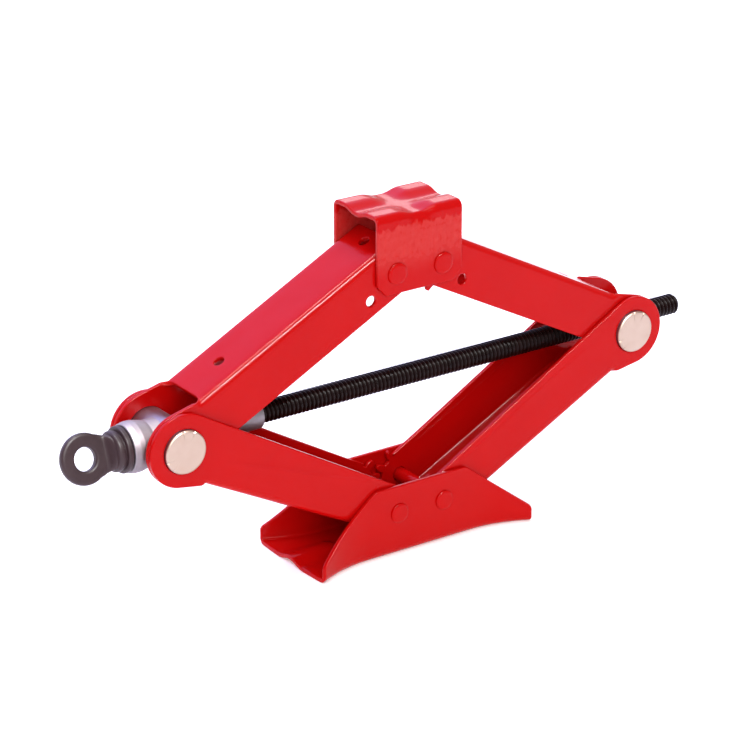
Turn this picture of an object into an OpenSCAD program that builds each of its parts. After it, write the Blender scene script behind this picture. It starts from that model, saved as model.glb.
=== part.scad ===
// Scissor jack with a screw-driven rhombus of four channel-section arms.
// Frame: X runs along the screw, Y across the jack, Z up.
// Origin: centre of the underside of the base. Units: millimetres.

/* [Linkage] */
// Pivot-to-pivot length of every arm
arm_len = 175; // [170:1:190]
// Angle of the arms above the horizontal in the modelled pose
rest_angle = 27.35; // [15:0.05:45]
// Half of the distance between the two pivots of the base, and of the saddle
pivot_half_gap = 17.5; // [16.5:0.5:18.5]
// Height of the base pivots above the ground
base_pivot_z = 28.8; // [27:0.1:32]

/* [Arms] */
// Sheet thickness of the arms
arm_sheet = 3; // [2.5:0.1:3.2]
// Half of the outside width of the upper arms
upper_half_w = 21.2; // [20.5:0.1:21.3]
// Half of the outside width of the lower arms
lower_half_w = 24.5; // [24.4:0.1:24.7]
// Radius of the round ear at the trunnion end of every arm
ear_r = 23.5; // [22:0.5:24]
// Distance from the pivot line to the outer face of an upper arm's web
upper_web_w = 17.8; // [16:0.1:19]
// Distance from the pivot line to the outer face of a lower arm's web
lower_web_w = 16; // [14:0.1:17]
// Distance from the pivot line to the open edge of an upper arm
upper_open_w = 15.8; // [14:0.1:16.5]
// Distance from the pivot line to the open edge of a lower arm, at its narrow end
lower_open_w = 16; // [15:0.1:17]
// Where the web starts, measured from the trunnion axis
web_start = 27; // [25:0.1:30]
// How far the web runs on past the pivot
web_over = 10; // [8:0.5:11]
// Outside radius of the pressed bends of the arms
arm_bend_r = 4.5; // [3.5:0.1:5]
// Radius of the small holes in the arms
arm_hole_r = 3.5; // [2:0.1:4]

/* [Teeth] */
// Number of teeth of the full circle that each toothed arm end is part of
tooth_count = 10; // [10:2:12]
// Pressure angle of the teeth
pressure_angle = 25; // [22:1:27]
// Height of a tooth above the pitch circle
tooth_addendum = 2.6; // [2:0.1:2.7]
// Depth of a tooth below the pitch circle
tooth_dedendum = 3.6; // [3.4:0.1:3.7]
// Half of the backlash, measured along the pitch circle
tooth_play = 0.25; // [0.15:0.05:0.4]

/* [Base] */
// Sheet thickness of the base and the saddle
shoe_sheet = 2.8; // [2.4:0.1:2.8]
// Half of the outside width of the base between its flared ends
base_half_w = 27.6; // [27.6:0.1:28]
// Half of the length of the base
base_half_len = 83.5; // [80:0.5:90]
// Half of the length of the straight top edge of the base's flanges
base_top_half = 35; // [32:0.5:38]
// Height of the base's flanges
base_h = 47.4; // [45:0.1:50]
// Height of the flanges at the ends of the base
base_end_h = 10.5; // [8:0.5:14]
// Distance from the middle at which the flanges start to flare
flare_start = 40; // [38:1:45]
// Radius of the flare, seen from above
flare_r = 87; // [80:1:100]
// Radius of the rounded corners of the base's outline
base_corner_r = 4; // [3:0.5:9]
// Height of the pressed rib at each end of the floor
rib_h = 3; // [2:0.1:3.2]
// Width of that rib
rib_w = 24; // [20:1:28]
// Distance from the middle at which the rib starts
rib_start = 48; // [44:1:60]

/* [Saddle] */
// Half of the outside width of the saddle
saddle_half_w = 24.3; // [24.3:0.1:24.6]
// Half of the length of the saddle
saddle_half_len = 32; // [30:0.5:34]
// Height of the top of the saddle above its pivots
saddle_top = 38.4; // [36:0.1:40]
// Depth of the side walls of the saddle below its pivots
saddle_skirt = 13.3; // [12:0.1:15]
// Depth of the pressed cross in the top of the saddle
cross_depth = 2.6; // [2:0.1:3]
// Half of the width of the valley that runs across the saddle
cross_half_x = 9; // [7:0.5:12]
// Half of the width of the valley that runs along the saddle
cross_half_y = 6; // [5:0.5:9]
// Outside radius of the pressed bends of the saddle and the base
shoe_bend_r = 5; // [4:0.5:6]

/* [Pivot pins] */
// Radius of the shank of the pivot pins
pin_r = 4.8; // [4.5:0.1:5.5]
// Radius of the heads of the base pins
base_head_r = 6.5; // [6:0.1:7.5]
// Radius of the heads of the saddle pins
saddle_head_r = 7; // [6:0.1:8]
// Height of a pin's head
head_h = 1.8; // [1.5:0.1:2.2]
// Radial play of every running fit
running_play = 0.08; // [0.05:0.01:0.1]

/* [Trunnions] */
// Radius of the two trunnions
trunnion_r = 14; // [13:0.5:15]
// Half of the length of the trunnions
trunnion_half = 27.1; // [26.5:0.1:27.5]
// Chamfer on the ends of the trunnions
trunnion_chamfer = 0.8; // [0.4:0.1:1.2]

/* [Screw] */
// Radius of the lead screw over its thread
screw_r = 7; // [6:0.5:7.5]
// How far the screw runs on past the nut trunnion's axis
screw_tail = 55.1; // [50:0.1:65]
// Outside radius of the stop sleeve
sleeve_r = 9.5; // [9:0.5:10]
// Distance from the thrust trunnion's axis to the end of the stop sleeve
sleeve_reach = 67; // [50:1:75]

/* [Thrust bearing] */
// Largest radius of the bearing cup
cup_r = 16; // [15.5:0.1:17]
// Radius of the bearing cup at its two ends
cup_end_r = 14.7; // [14.2:0.1:15]
// Radius of the cavity that holds the bearing
cavity_r = 12.6; // [12.2:0.1:13]
// Number of bearing balls
ball_count = 12; // [8:1:12]
// Radius of a bearing ball
ball_r = 1.9; // [1.6:0.1:1.9]
// Radius of the circle that the balls run on
ball_circle_r = 9.8; // [9.4:0.1:10]

/* [Drive eye] */
// Outside radius of the eye
eye_r = 16; // [15:0.5:18]
// Radius of the hole through the eye
eye_hole_r = 7.25; // [6.5:0.05:8]
// Thickness of the eye
eye_t = 6; // [5:0.5:9]
// Distance from the thrust trunnion's axis to the centre of the eye
eye_reach = 55; // [54:0.5:60]
// How far the eye is turned about the screw, from upright
eye_turn = 18.5; // [0:0.5:90]
// Radius of the collar that closes the bearing cup
collar_r = 14.6; // [14:0.1:15]
// Radius of the neck between the collar and the eye
neck_r = 12.8; // [11:0.1:13.5]

/* [Hidden] */
$fn = 96;
// Facets of the largest circles
FINE = 180;
// Facets of the balls
COARSE = 32;
EPS = 0.01;
// Depth to which joined shapes run into each other
OVERLAP = 0.5;
// How far a cutting shape runs on past the solid that it cuts
CUT = 1;
// Radial gap left around parts that are pressed together
PRESS = 0.02;

red_paint = "#da2421";
bare_steel = "#e2c8bd";
zinc_plate = "#c9c6cf";
black_oxide = "#1d1b1c";
forged_black = "#3e3437";
brass_yellow = "#c9a24a";

// Linkage positions in the modelled pose
arm_run = arm_len * cos(rest_angle);
arm_rise = arm_len * sin(rest_angle);
trunnion_x = pivot_half_gap + arm_run;
trunnion_z = base_pivot_z + arm_rise;
saddle_pivot_z = trunnion_z + arm_rise;

// Toothed ends of the arms
pitch_r = pivot_half_gap;
gear_base_r = pitch_r * cos(pressure_angle);
tip_r = pitch_r + tooth_addendum;
root_r = pitch_r - tooth_dedendum;
tooth_step = 360 / tooth_count;
flank_steps = 4;
tooth_half_angle = tooth_step / 4 - tooth_play / pitch_r * 180 / PI;

// Arms
web_end = arm_len + web_over;
lower_taper_u = 160;
web_hole_near = 54.6;
web_hole_far = arm_len;
flange_hole_u = 152.5;
flange_hole_w = -6;
arm_bend_in = arm_bend_r - arm_sheet;

// Base
base_plan_half_w = 39;
rib_r = (rib_w * rib_w / 4 + rib_h * rib_h) / (2 * rib_h);

// Saddle
saddle_inner_half_w = saddle_half_w - shoe_sheet;
saddle_corner_run = 6.5;
saddle_corner_rise = 7;

// Thrust bearing, as distances outwards from the trunnion's axis
cup_from = 5;
cup_floor = 18;
cup_rim = 28;
cup_slope = 3;
cup_lip = 0.6;
cup_bore_r = screw_r + 0.5;
race_t = 2;
cage_t = 1.6;
pocket_play = 0.15;
race_in_r = screw_r + 0.3;
race_out_r = cavity_r - 0.1;
ball_gap = 4.1;
fixed_race_at = cup_floor;
ball_at = cup_floor + race_t + ball_gap / 2;
turning_race_at = cup_floor + race_t + ball_gap;
collar_face = turning_race_at + race_t;
collar_start = cup_rim + 0.4;
collar_end = collar_start + 3.6;
neck_start = collar_end + 1;
neck_end = neck_start + 3.6;
spigot_r = cavity_r - 0.5;
groove_r = 11.8;
shank_end = 36;

// Stop sleeve and its roll pin
sleeve_start = trunnion_r - 1;
sleeve_end_play = 0.2;
sleeve_spot_r = sleeve_r + 0.3;
sleeve_chamfer = 0.5;
sleeve_pin_at = 34;
sleeve_pin_r = 2;
sleeve_pin_wall = 0.8;
sleeve_pin_slot = 0.8;
sleeve_pin_sunk = 0.3;

// Ends of the lead screw and the drive eye's neck
screw_tip_chamfer = 1.5;
shank_chamfer = 1;
socket_end_play = 0.1;
neck_step = 1.6;
neck_cone = 2;
neck_overlap = 8;
neck_slope_run = 7;
neck_slope_end = 13.5;
neck_slope_over = 2;

// ---- small helpers ---------------------------------------------------------

// Involute of an angle, in degrees
function involute(a) = tan(a) * 180 / PI - a;

// Half of a tooth's angle at a radius, constant below the base circle
function tooth_half(r) =
    tooth_half_angle + involute(pressure_angle) - involute(acos(min(1, gear_base_r / r)));

// Radius of each point up a tooth's flank
function flank_r(i) =
    i == 0 ? root_r - OVERLAP : gear_base_r + (tip_r - gear_base_r) * (i - 1) / (flank_steps - 1);

// A point on the toothed end; angles run from the arm's end towards its open edge
function tooth_point(r, a) = [arm_len + r * cos(a), -r * sin(a)];

// Outline of the tooth that is centred at an angle
function tooth_outline(centre) = concat(
    [for (i = [0 : flank_steps]) tooth_point(flank_r(i), centre - tooth_half(flank_r(i)))],
    [for (i = [flank_steps : -1 : 0]) tooth_point(flank_r(i), centre + tooth_half(flank_r(i)))]);

// The point where a line from (x, y) touches the circle of radius r about the origin
function tangent_point(x, y, r, turn) =
    let (a = atan2(y, x) + turn * acos(r / norm([x, y]))) [r * cos(a), r * sin(a)];

// Stands a flat outline up in the XZ plane, between y0 and y1
module stand(y0, y1) {
    translate([0, y1, 0])
        rotate([90, 0, 0])
            linear_extrude(height = y1 - y0)
                children();
}

// A cylinder along Y, centred on the middle plane
module cross_cylinder(r, half) {
    rotate([90, 0, 0])
        cylinder(r = r, h = 2 * half, center = true);
}

// A solid of revolution about the screw's axis; its outline is (radius, distance outwards)
module turned(outline) {
    translate([-trunnion_x, 0, trunnion_z])
        rotate([0, -90, 0])
            rotate_extrude()
                polygon(outline);
}

// A cylinder about the screw's axis, between two distances outwards from the trunnion
module screw_cylinder(r, from, to) {
    translate([-trunnion_x, 0, trunnion_z])
        rotate([0, -90, 0])
            translate([0, 0, from])
                cylinder(r = r, h = to - from);
}

// The square corner minus its quarter circle, for rounding an outside bend
module corner_waste(r) {
    difference() {
        square([r + CUT, r + CUT]);
        circle(r = r);
    }
}

// The fillet inside a bend
module bend_fillet(r) {
    difference() {
        square([r + OVERLAP, r + OVERLAP]);
        circle(r = r);
    }
}

// ---- arms ------------------------------------------------------------------

// Side view of an arm's flange: u along the arm from the trunnion, w towards the web
module flange_outline(web_w, open_points, first_tooth, teeth) {
    circle(r = ear_r);
    polygon(concat(
        [[0, 0], tangent_point(web_start, web_w, ear_r, 1), [web_start, web_w],
         [web_end, web_w], [web_end, web_w - arm_bend_r], [arm_len, 0]],
        open_points));
    translate([arm_len, 0])
        circle(r = root_r);
    for (k = [0 : teeth - 1])
        polygon(tooth_outline(first_tooth + k * tooth_step));
}

// An arm in its own frame: trunnion at the origin, pivot at +X, web towards +Z
module arm(half_w, web_w, open_points, first_tooth, teeth) {
    inner = half_w - arm_sheet;
    difference() {
        union() {
            for (y0 = [-half_w, inner])
                stand(y0, y0 + arm_sheet)
                    flange_outline(web_w, open_points, first_tooth, teeth);
            translate([web_start, -half_w + EPS, web_w - arm_sheet])
                cube([web_end - web_start, 2 * half_w - 2 * EPS, arm_sheet]);
            for (side = [-1, 1])
                translate([web_start, side * (inner - arm_bend_in), web_w - arm_bend_r])
                    mirror([0, side < 0 ? 1 : 0, 0])
                        rotate([90, 0, 90])
                            linear_extrude(height = web_end - web_start)
                                bend_fillet(arm_bend_in);
        }
        for (side = [-1, 1])
            translate([web_start, side * (half_w - arm_bend_r), web_w - arm_bend_r])
                mirror([0, side < 0 ? 1 : 0, 0])
                    rotate([90, 0, 90])
                        linear_extrude(height = web_end - web_start + CUT)
                            corner_waste(arm_bend_r);
        cross_cylinder(trunnion_r + running_play, half_w + CUT);
        translate([arm_len, 0, 0])
            cross_cylinder(pin_r + running_play, half_w + CUT);
    }
}

// Puts an arm in place: side -1 is left and 1 right, level 1 is upper and -1 lower
module place_arm(side, level) {
    mirror([side > 0 ? 1 : 0, 0, 0])
        translate([-trunnion_x, 0, trunnion_z])
            mirror([0, 0, level < 0 ? 1 : 0])
                rotate([0, -rest_angle, 0])
                    children();
}

// An upper arm, with its two web holes and a hole through each flange
module upper_arm(first_tooth, teeth) {
    difference() {
        arm(upper_half_w, upper_web_w, [[arm_len, -upper_open_w], [0, -upper_open_w]], first_tooth, teeth);
        for (u = [web_hole_near, web_hole_far])
            translate([u, 0, upper_web_w - arm_sheet - CUT])
                cylinder(r = arm_hole_r, h = arm_sheet + 2 * CUT);
        translate([flange_hole_u, 0, flange_hole_w])
            cross_cylinder(arm_hole_r, upper_half_w + CUT);
    }
}

// A lower arm, whose open edge tapers from the ear to the pivot
module lower_arm(first_tooth, teeth) {
    arm(lower_half_w, lower_web_w,
        [[arm_len, -lower_open_w], [lower_taper_u, -lower_open_w],
         tangent_point(lower_taper_u, -lower_open_w, ear_r, -1)],
        first_tooth, teeth);
}

module upper_arm_left() {
    color(red_paint) place_arm(-1, 1) upper_arm(0, 3);
}

module upper_arm_right() {
    color(red_paint) place_arm(1, 1) upper_arm(-tooth_step / 2, 4);
}

module lower_arm_left() {
    color(red_paint) place_arm(-1, -1) lower_arm(0, 3);
}

module lower_arm_right() {
    color(red_paint) place_arm(1, -1) lower_arm(-tooth_step / 2, 4);
}

// ---- base ------------------------------------------------------------------

// Outline of the base from above, drawn in by an inset on its long sides
module base_plan(inset) {
    difference() {
        square([2 * base_half_len, 2 * base_plan_half_w], center = true);
        for (sx = [-1, 1], sy = [-1, 1])
            translate([sx * flare_start, sy * (base_half_w + flare_r)])
                circle(r = flare_r + inset, $fn = FINE);
        for (sy = [-1, 1])
            translate([0, sy * (base_half_w - inset + flare_r / 2)])
                square([2 * flare_start, flare_r], center = true);
    }
}

// Rounded rectangle that trims the four corners of the base
module base_corners() {
    square([2 * base_half_len, 2 * (base_plan_half_w - base_corner_r)], center = true);
    square([2 * (base_half_len - base_corner_r), 2 * base_plan_half_w], center = true);
    for (sx = [-1, 1], sy = [-1, 1])
        translate([sx * (base_half_len - base_corner_r), sy * (base_plan_half_w - base_corner_r)])
            circle(r = base_corner_r);
}

// Side view of the base's flanges
module base_side() {
    polygon([[-base_half_len, 0], [base_half_len, 0], [base_half_len, base_end_h],
             [base_top_half, base_h], [-base_top_half, base_h], [-base_half_len, base_end_h]]);
}

// The body of a long shallow arch along the middle of the floor, from a distance out to another
module rib(side, r, from, to, low) {
    mirror([side < 0 ? 1 : 0, 0, 0])
        intersection() {
            translate([from, -rib_w, low])
                cube([to - from, 2 * rib_w, 2 * (rib_h + shoe_sheet)]);
            translate([0, 0, rib_h - rib_r])
                rotate([0, 90, 0])
                    cylinder(r = r, h = 3 * base_half_len, center = true, $fn = FINE);
        }
}

module base_channel() {
    color(red_paint)
        difference() {
            union() {
                linear_extrude(height = shoe_sheet)
                    intersection() {
                        base_plan(0);
                        base_corners();
                    }
                intersection() {
                    linear_extrude(height = base_h)
                        intersection() {
                            difference() {
                                base_plan(0);
                                base_plan(shoe_sheet);
                            }
                            base_corners();
                        }
                    stand(-base_plan_half_w - CUT, base_plan_half_w + CUT)
                        base_side();
                }
                for (side = [-1, 1])
                    rib(side, rib_r + shoe_sheet, rib_start, base_half_len, EPS);
            }
            for (side = [-1, 1]) {
                rib(side, rib_r, rib_start + shoe_sheet, base_half_len + CUT, -CUT);
                translate([side * pivot_half_gap, 0, base_pivot_z])
                    cross_cylinder(pin_r + PRESS, base_half_w + CUT);
            }
        }
}

// ---- saddle ----------------------------------------------------------------

// Side view of the saddle's walls, with its lower corners cut off
module saddle_side() {
    polygon([[-saddle_half_len, saddle_top], [saddle_half_len, saddle_top],
             [saddle_half_len, saddle_corner_rise - saddle_skirt],
             [saddle_half_len - saddle_corner_run, -saddle_skirt],
             [saddle_corner_run - saddle_half_len, -saddle_skirt],
             [-saddle_half_len, saddle_corner_rise - saddle_skirt]]);
}

module saddle_channel() {
    top_low = saddle_top - cross_depth;
    cut_half_len = saddle_half_len + CUT;
    cavity_h = saddle_skirt + CUT + top_low - shoe_sheet;
    color(red_paint)
        translate([0, 0, saddle_pivot_z])
            difference() {
                stand(-saddle_half_w, saddle_half_w)
                    saddle_side();
                // Inside of the channel, below the pressed cross
                translate([-cut_half_len, -saddle_inner_half_w, -saddle_skirt - CUT])
                    cube([2 * cut_half_len, 2 * saddle_inner_half_w, cavity_h]);
                // Rounded bends along both top edges
                for (side = [-1, 1])
                    translate([-cut_half_len, side * (saddle_half_w - shoe_bend_r), saddle_top - shoe_bend_r])
                        mirror([0, side < 0 ? 1 : 0, 0])
                            rotate([90, 0, 90])
                                linear_extrude(height = 2 * cut_half_len)
                                    corner_waste(shoe_bend_r);
                // The pressed cross: one valley along the saddle and one across it
                translate([-cut_half_len, -cross_half_y, top_low])
                    cube([2 * cut_half_len, 2 * cross_half_y, cross_depth + CUT]);
                translate([-cross_half_x, -saddle_half_w - CUT, top_low])
                    cube([2 * cross_half_x, 2 * (saddle_half_w + CUT), cross_depth + CUT]);
                for (side = [-1, 1])
                    translate([side * pivot_half_gap, 0, 0])
                        cross_cylinder(pin_r + PRESS, saddle_half_w + CUT);
            }
}

// ---- pivot pins ------------------------------------------------------------

// A pin riveted over at both ends: shank along Y with a low dome outside each wall
module pivot_pin(wall_half_w, head_r) {
    dome_r = (head_r * head_r + head_h * head_h) / (2 * head_h);
    cross_cylinder(pin_r, wall_half_w + EPS);
    for (side = [-1, 1])
        intersection() {
            translate([0, side * (wall_half_w + head_h - dome_r), 0])
                sphere(r = dome_r);
            translate([0, side * (wall_half_w + head_h), 0])
                cross_cylinder(head_r + CUT, head_h);
        }
}

module base_pin_left() {
    color(red_paint) translate([-pivot_half_gap, 0, base_pivot_z]) pivot_pin(base_half_w, base_head_r);
}

module base_pin_right() {
    color(red_paint) translate([pivot_half_gap, 0, base_pivot_z]) pivot_pin(base_half_w, base_head_r);
}

module saddle_pin_left() {
    color(red_paint) translate([-pivot_half_gap, 0, saddle_pivot_z]) pivot_pin(saddle_half_w, saddle_head_r);
}

module saddle_pin_right() {
    color(red_paint) translate([pivot_half_gap, 0, saddle_pivot_z]) pivot_pin(saddle_half_w, saddle_head_r);
}

// ---- trunnions -------------------------------------------------------------

// A round bar along Y with chamfered ends
module trunnion_bar() {
    rotate([90, 0, 0])
        rotate_extrude()
            polygon([[0, -trunnion_half], [trunnion_r - trunnion_chamfer, -trunnion_half],
                     [trunnion_r, trunnion_chamfer - trunnion_half],
                     [trunnion_r, trunnion_half - trunnion_chamfer],
                     [trunnion_r - trunnion_chamfer, trunnion_half], [0, trunnion_half]]);
}

module thrust_trunnion() {
    color(bare_steel)
        difference() {
            translate([-trunnion_x, 0, trunnion_z])
                trunnion_bar();
            screw_cylinder(screw_r + running_play, -trunnion_r - CUT, trunnion_r + CUT);
            // Spot face that the stop sleeve runs against
            screw_cylinder(sleeve_spot_r, -trunnion_r - CUT, sleeve_end_play - sleeve_start);
        }
}

module nut_trunnion() {
    color(bare_steel)
        difference() {
            translate([trunnion_x, 0, trunnion_z])
                trunnion_bar();
            translate([trunnion_x, 0, trunnion_z])
                rotate([0, 90, 0])
                    cylinder(r = screw_r + running_play, h = 2 * (trunnion_r + CUT), center = true);
        }
}

// ---- thrust bearing --------------------------------------------------------

module bearing_cup() {
    color(zinc_plate)
        difference() {
            turned([[cup_bore_r, cup_from], [cup_end_r - cup_lip, cup_from],
                    [cup_end_r - cup_lip, trunnion_r - 1], [cup_end_r, trunnion_r],
                    [cup_r, cup_floor + cup_slope], [cup_r, cup_rim - cup_slope],
                    [cup_end_r + cup_lip, cup_rim], [cavity_r, cup_rim], [cavity_r, cup_floor],
                    [cup_bore_r, cup_floor]]);
            translate([-trunnion_x, 0, trunnion_z])
                cross_cylinder(trunnion_r, trunnion_half);
        }
}

// A flat race at a distance outwards from the trunnion
module race(at) {
    turned([[race_in_r, at], [race_out_r, at], [race_out_r, at + race_t], [race_in_r, at + race_t]]);
}

module fixed_race() {
    color(zinc_plate) race(fixed_race_at);
}

module turning_race() {
    color(zinc_plate) race(turning_race_at);
}

// Places a child at each ball's centre
module at_balls() {
    translate([-trunnion_x - ball_at, 0, trunnion_z])
        for (i = [0 : ball_count - 1])
            rotate([i * 360 / ball_count, 0, 0])
                translate([0, ball_circle_r, 0])
                    children();
}

module bearing_balls() {
    color(bare_steel) at_balls() sphere(r = ball_r, $fn = COARSE);
}

module bearing_cage() {
    color(brass_yellow)
        difference() {
            turned([[race_in_r, ball_at - cage_t / 2], [race_out_r, ball_at - cage_t / 2],
                    [race_out_r, ball_at + cage_t / 2], [race_in_r, ball_at + cage_t / 2]]);
            at_balls()
                rotate([0, 90, 0])
                    cylinder(r = ball_r + pocket_play, h = cage_t + CUT, center = true, $fn = COARSE);
        }
}

// ---- screw -----------------------------------------------------------------

module lead_screw() {
    length = 2 * trunnion_x + screw_tail;
    color(black_oxide)
        difference() {
            turned([[0, -length], [screw_r - screw_tip_chamfer, -length],
                    [screw_r, screw_tip_chamfer - length], [screw_r, shank_end - shank_chamfer],
                    [screw_r - shank_chamfer, shank_end], [0, shank_end]]);
            translate([-trunnion_x + sleeve_pin_at, 0, trunnion_z])
                cross_cylinder(sleeve_pin_r, screw_r + CUT);
        }
}

module stop_sleeve() {
    color(zinc_plate)
        difference() {
            turned([[screw_r + PRESS, -sleeve_reach], [sleeve_r - sleeve_chamfer, -sleeve_reach],
                    [sleeve_r, sleeve_chamfer - sleeve_reach], [sleeve_r, -sleeve_start],
                    [screw_r + PRESS, -sleeve_start]]);
            translate([-trunnion_x + sleeve_pin_at, 0, trunnion_z])
                cross_cylinder(sleeve_pin_r, sleeve_r + CUT);
        }
}

// A slotted spring pin that ties the stop sleeve to the screw
module sleeve_pin() {
    color(zinc_plate)
        translate([-trunnion_x + sleeve_pin_at, 0, trunnion_z])
            difference() {
                cross_cylinder(sleeve_pin_r - PRESS, sleeve_r - sleeve_pin_sunk);
                cross_cylinder(sleeve_pin_r - sleeve_pin_wall, sleeve_r + CUT);
                translate([-sleeve_pin_slot / 2, -sleeve_r - CUT, 0])
                    cube([sleeve_pin_slot, 2 * (sleeve_r + CUT), sleeve_pin_r + CUT]);
            }
}

// Turns a child about the screw's axis
module turned_by(angle) {
    translate([-trunnion_x, 0, trunnion_z])
        rotate([angle, 0, 0])
            translate([trunnion_x, 0, -trunnion_z])
                children();
}

// Neck of the eye from above: two slanting flats that run into the flat ring
module neck_plan() {
    flat_end = eye_reach - neck_slope_end;
    slope_half = neck_r + neck_slope_over;
    polygon([[neck_slope_run - flat_end, slope_half], [-flat_end, eye_t / 2], [-eye_reach, eye_t / 2],
             [-eye_reach, -eye_t / 2], [-flat_end, -eye_t / 2], [neck_slope_run - flat_end, -slope_half]]);
}

// Forged eye: a flat ring, a round neck flattened towards it, and the collar over the bearing
module drive_eye() {
    lap = eye_reach - neck_overlap;
    color(forged_black)
        turned_by(-eye_turn)
            difference() {
                union() {
                    translate([-trunnion_x - eye_reach, 0, trunnion_z])
                        cross_cylinder(eye_r, eye_t / 2);
                    turned([[0, collar_face], [spigot_r, collar_face], [spigot_r, collar_start],
                            [collar_r, collar_start], [collar_r, collar_end], [groove_r, collar_end],
                            [groove_r, neck_start], [neck_r, neck_start], [neck_r, neck_end], [0, neck_end]]);
                    intersection() {
                        turned([[0, neck_end - EPS], [neck_r, neck_end - EPS],
                                [neck_r - neck_step, neck_end + neck_cone],
                                [neck_r - neck_step, lap], [0, lap]]);
                        translate([-trunnion_x, 0, trunnion_z - eye_r])
                            linear_extrude(height = 2 * eye_r)
                                neck_plan();
                    }
                }
                translate([-trunnion_x - eye_reach, 0, trunnion_z])
                    cross_cylinder(eye_hole_r, eye_t);
                // Socket for the end of the screw
                screw_cylinder(screw_r + PRESS, collar_face - CUT, shank_end + socket_end_play);
            }
}

base_channel();
base_pin_left();
base_pin_right();
lower_arm_left();
lower_arm_right();
upper_arm_left();
upper_arm_right();
saddle_channel();
saddle_pin_left();
saddle_pin_right();
thrust_trunnion();
nut_trunnion();
bearing_cup();
fixed_race();
turning_race();
bearing_cage();
bearing_balls();
lead_screw();
stop_sleeve();
sleeve_pin();
drive_eye();
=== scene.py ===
"""Scissor jack: the visual model, its finishes and its studio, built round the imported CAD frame.

Sizes are in millimetres and are turned to metres where a mesh is made. Places come from the frame's nodes.
"""

from __future__ import annotations

import logging
import math
from dataclasses import dataclass, field
from enum import Enum
from typing import Callable, Sequence

import bpy
import numpy as np
from mathutils import Matrix, Vector, geometry


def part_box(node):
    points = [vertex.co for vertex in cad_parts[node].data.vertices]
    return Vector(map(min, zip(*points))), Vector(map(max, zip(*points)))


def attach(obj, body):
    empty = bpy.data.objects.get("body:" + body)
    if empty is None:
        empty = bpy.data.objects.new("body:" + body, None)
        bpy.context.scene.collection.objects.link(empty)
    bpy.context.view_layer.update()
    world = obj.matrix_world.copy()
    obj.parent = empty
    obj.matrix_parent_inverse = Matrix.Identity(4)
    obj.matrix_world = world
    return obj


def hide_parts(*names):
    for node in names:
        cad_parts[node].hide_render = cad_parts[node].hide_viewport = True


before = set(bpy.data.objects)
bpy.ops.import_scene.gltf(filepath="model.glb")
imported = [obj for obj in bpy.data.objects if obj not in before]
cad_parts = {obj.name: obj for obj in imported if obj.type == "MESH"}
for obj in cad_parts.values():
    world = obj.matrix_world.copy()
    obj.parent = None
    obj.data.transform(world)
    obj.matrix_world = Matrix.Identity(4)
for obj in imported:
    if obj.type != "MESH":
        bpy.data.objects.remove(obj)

log = logging.getLogger("scissor_jack")

MM = 0.001
Point = tuple[float, float]
Point3 = tuple[float, float, float]
Surface = Callable[[np.ndarray, np.ndarray], np.ndarray]
Piece = bpy.types.Object
Material = bpy.types.Material
Tree = bpy.types.NodeTree
Socket = bpy.types.NodeSocket


class Side(Enum):
    """End of the jack: the drive eye is on the left."""

    LEFT = -1
    RIGHT = 1


class Level(Enum):
    """Pair of arms, above or below the screw."""

    LOWER = -1
    UPPER = 1


class Axis(Enum):
    """Direction that a turned piece is turned about."""

    ALONG = 0
    ACROSS = 1


# ---- small sums --------------------------------------------------------------------------


def smoothstep(low: float, high: float, value: np.ndarray) -> np.ndarray:
    """Rises smoothly from 0 at low to 1 at high.

    Args:
        low: value at which the rise starts.
        high: value at which it ends.
        value: values to map.

    Returns:
        The share of the rise at each value.
    """
    share = np.clip((value - low) / (high - low), 0.0, 1.0)
    return share * share * (3.0 - 2.0 * share)


def centre_mm(node: str) -> Vector:
    """Returns the centre of a CAD node's box, in millimetres."""
    low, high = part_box(node)
    return (low + high) / (2 * MM)


def involute(angle: float) -> float:
    """Returns the involute function of an angle in radians."""
    return math.tan(angle) - angle


# ---- outlines ----------------------------------------------------------------------------


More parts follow.
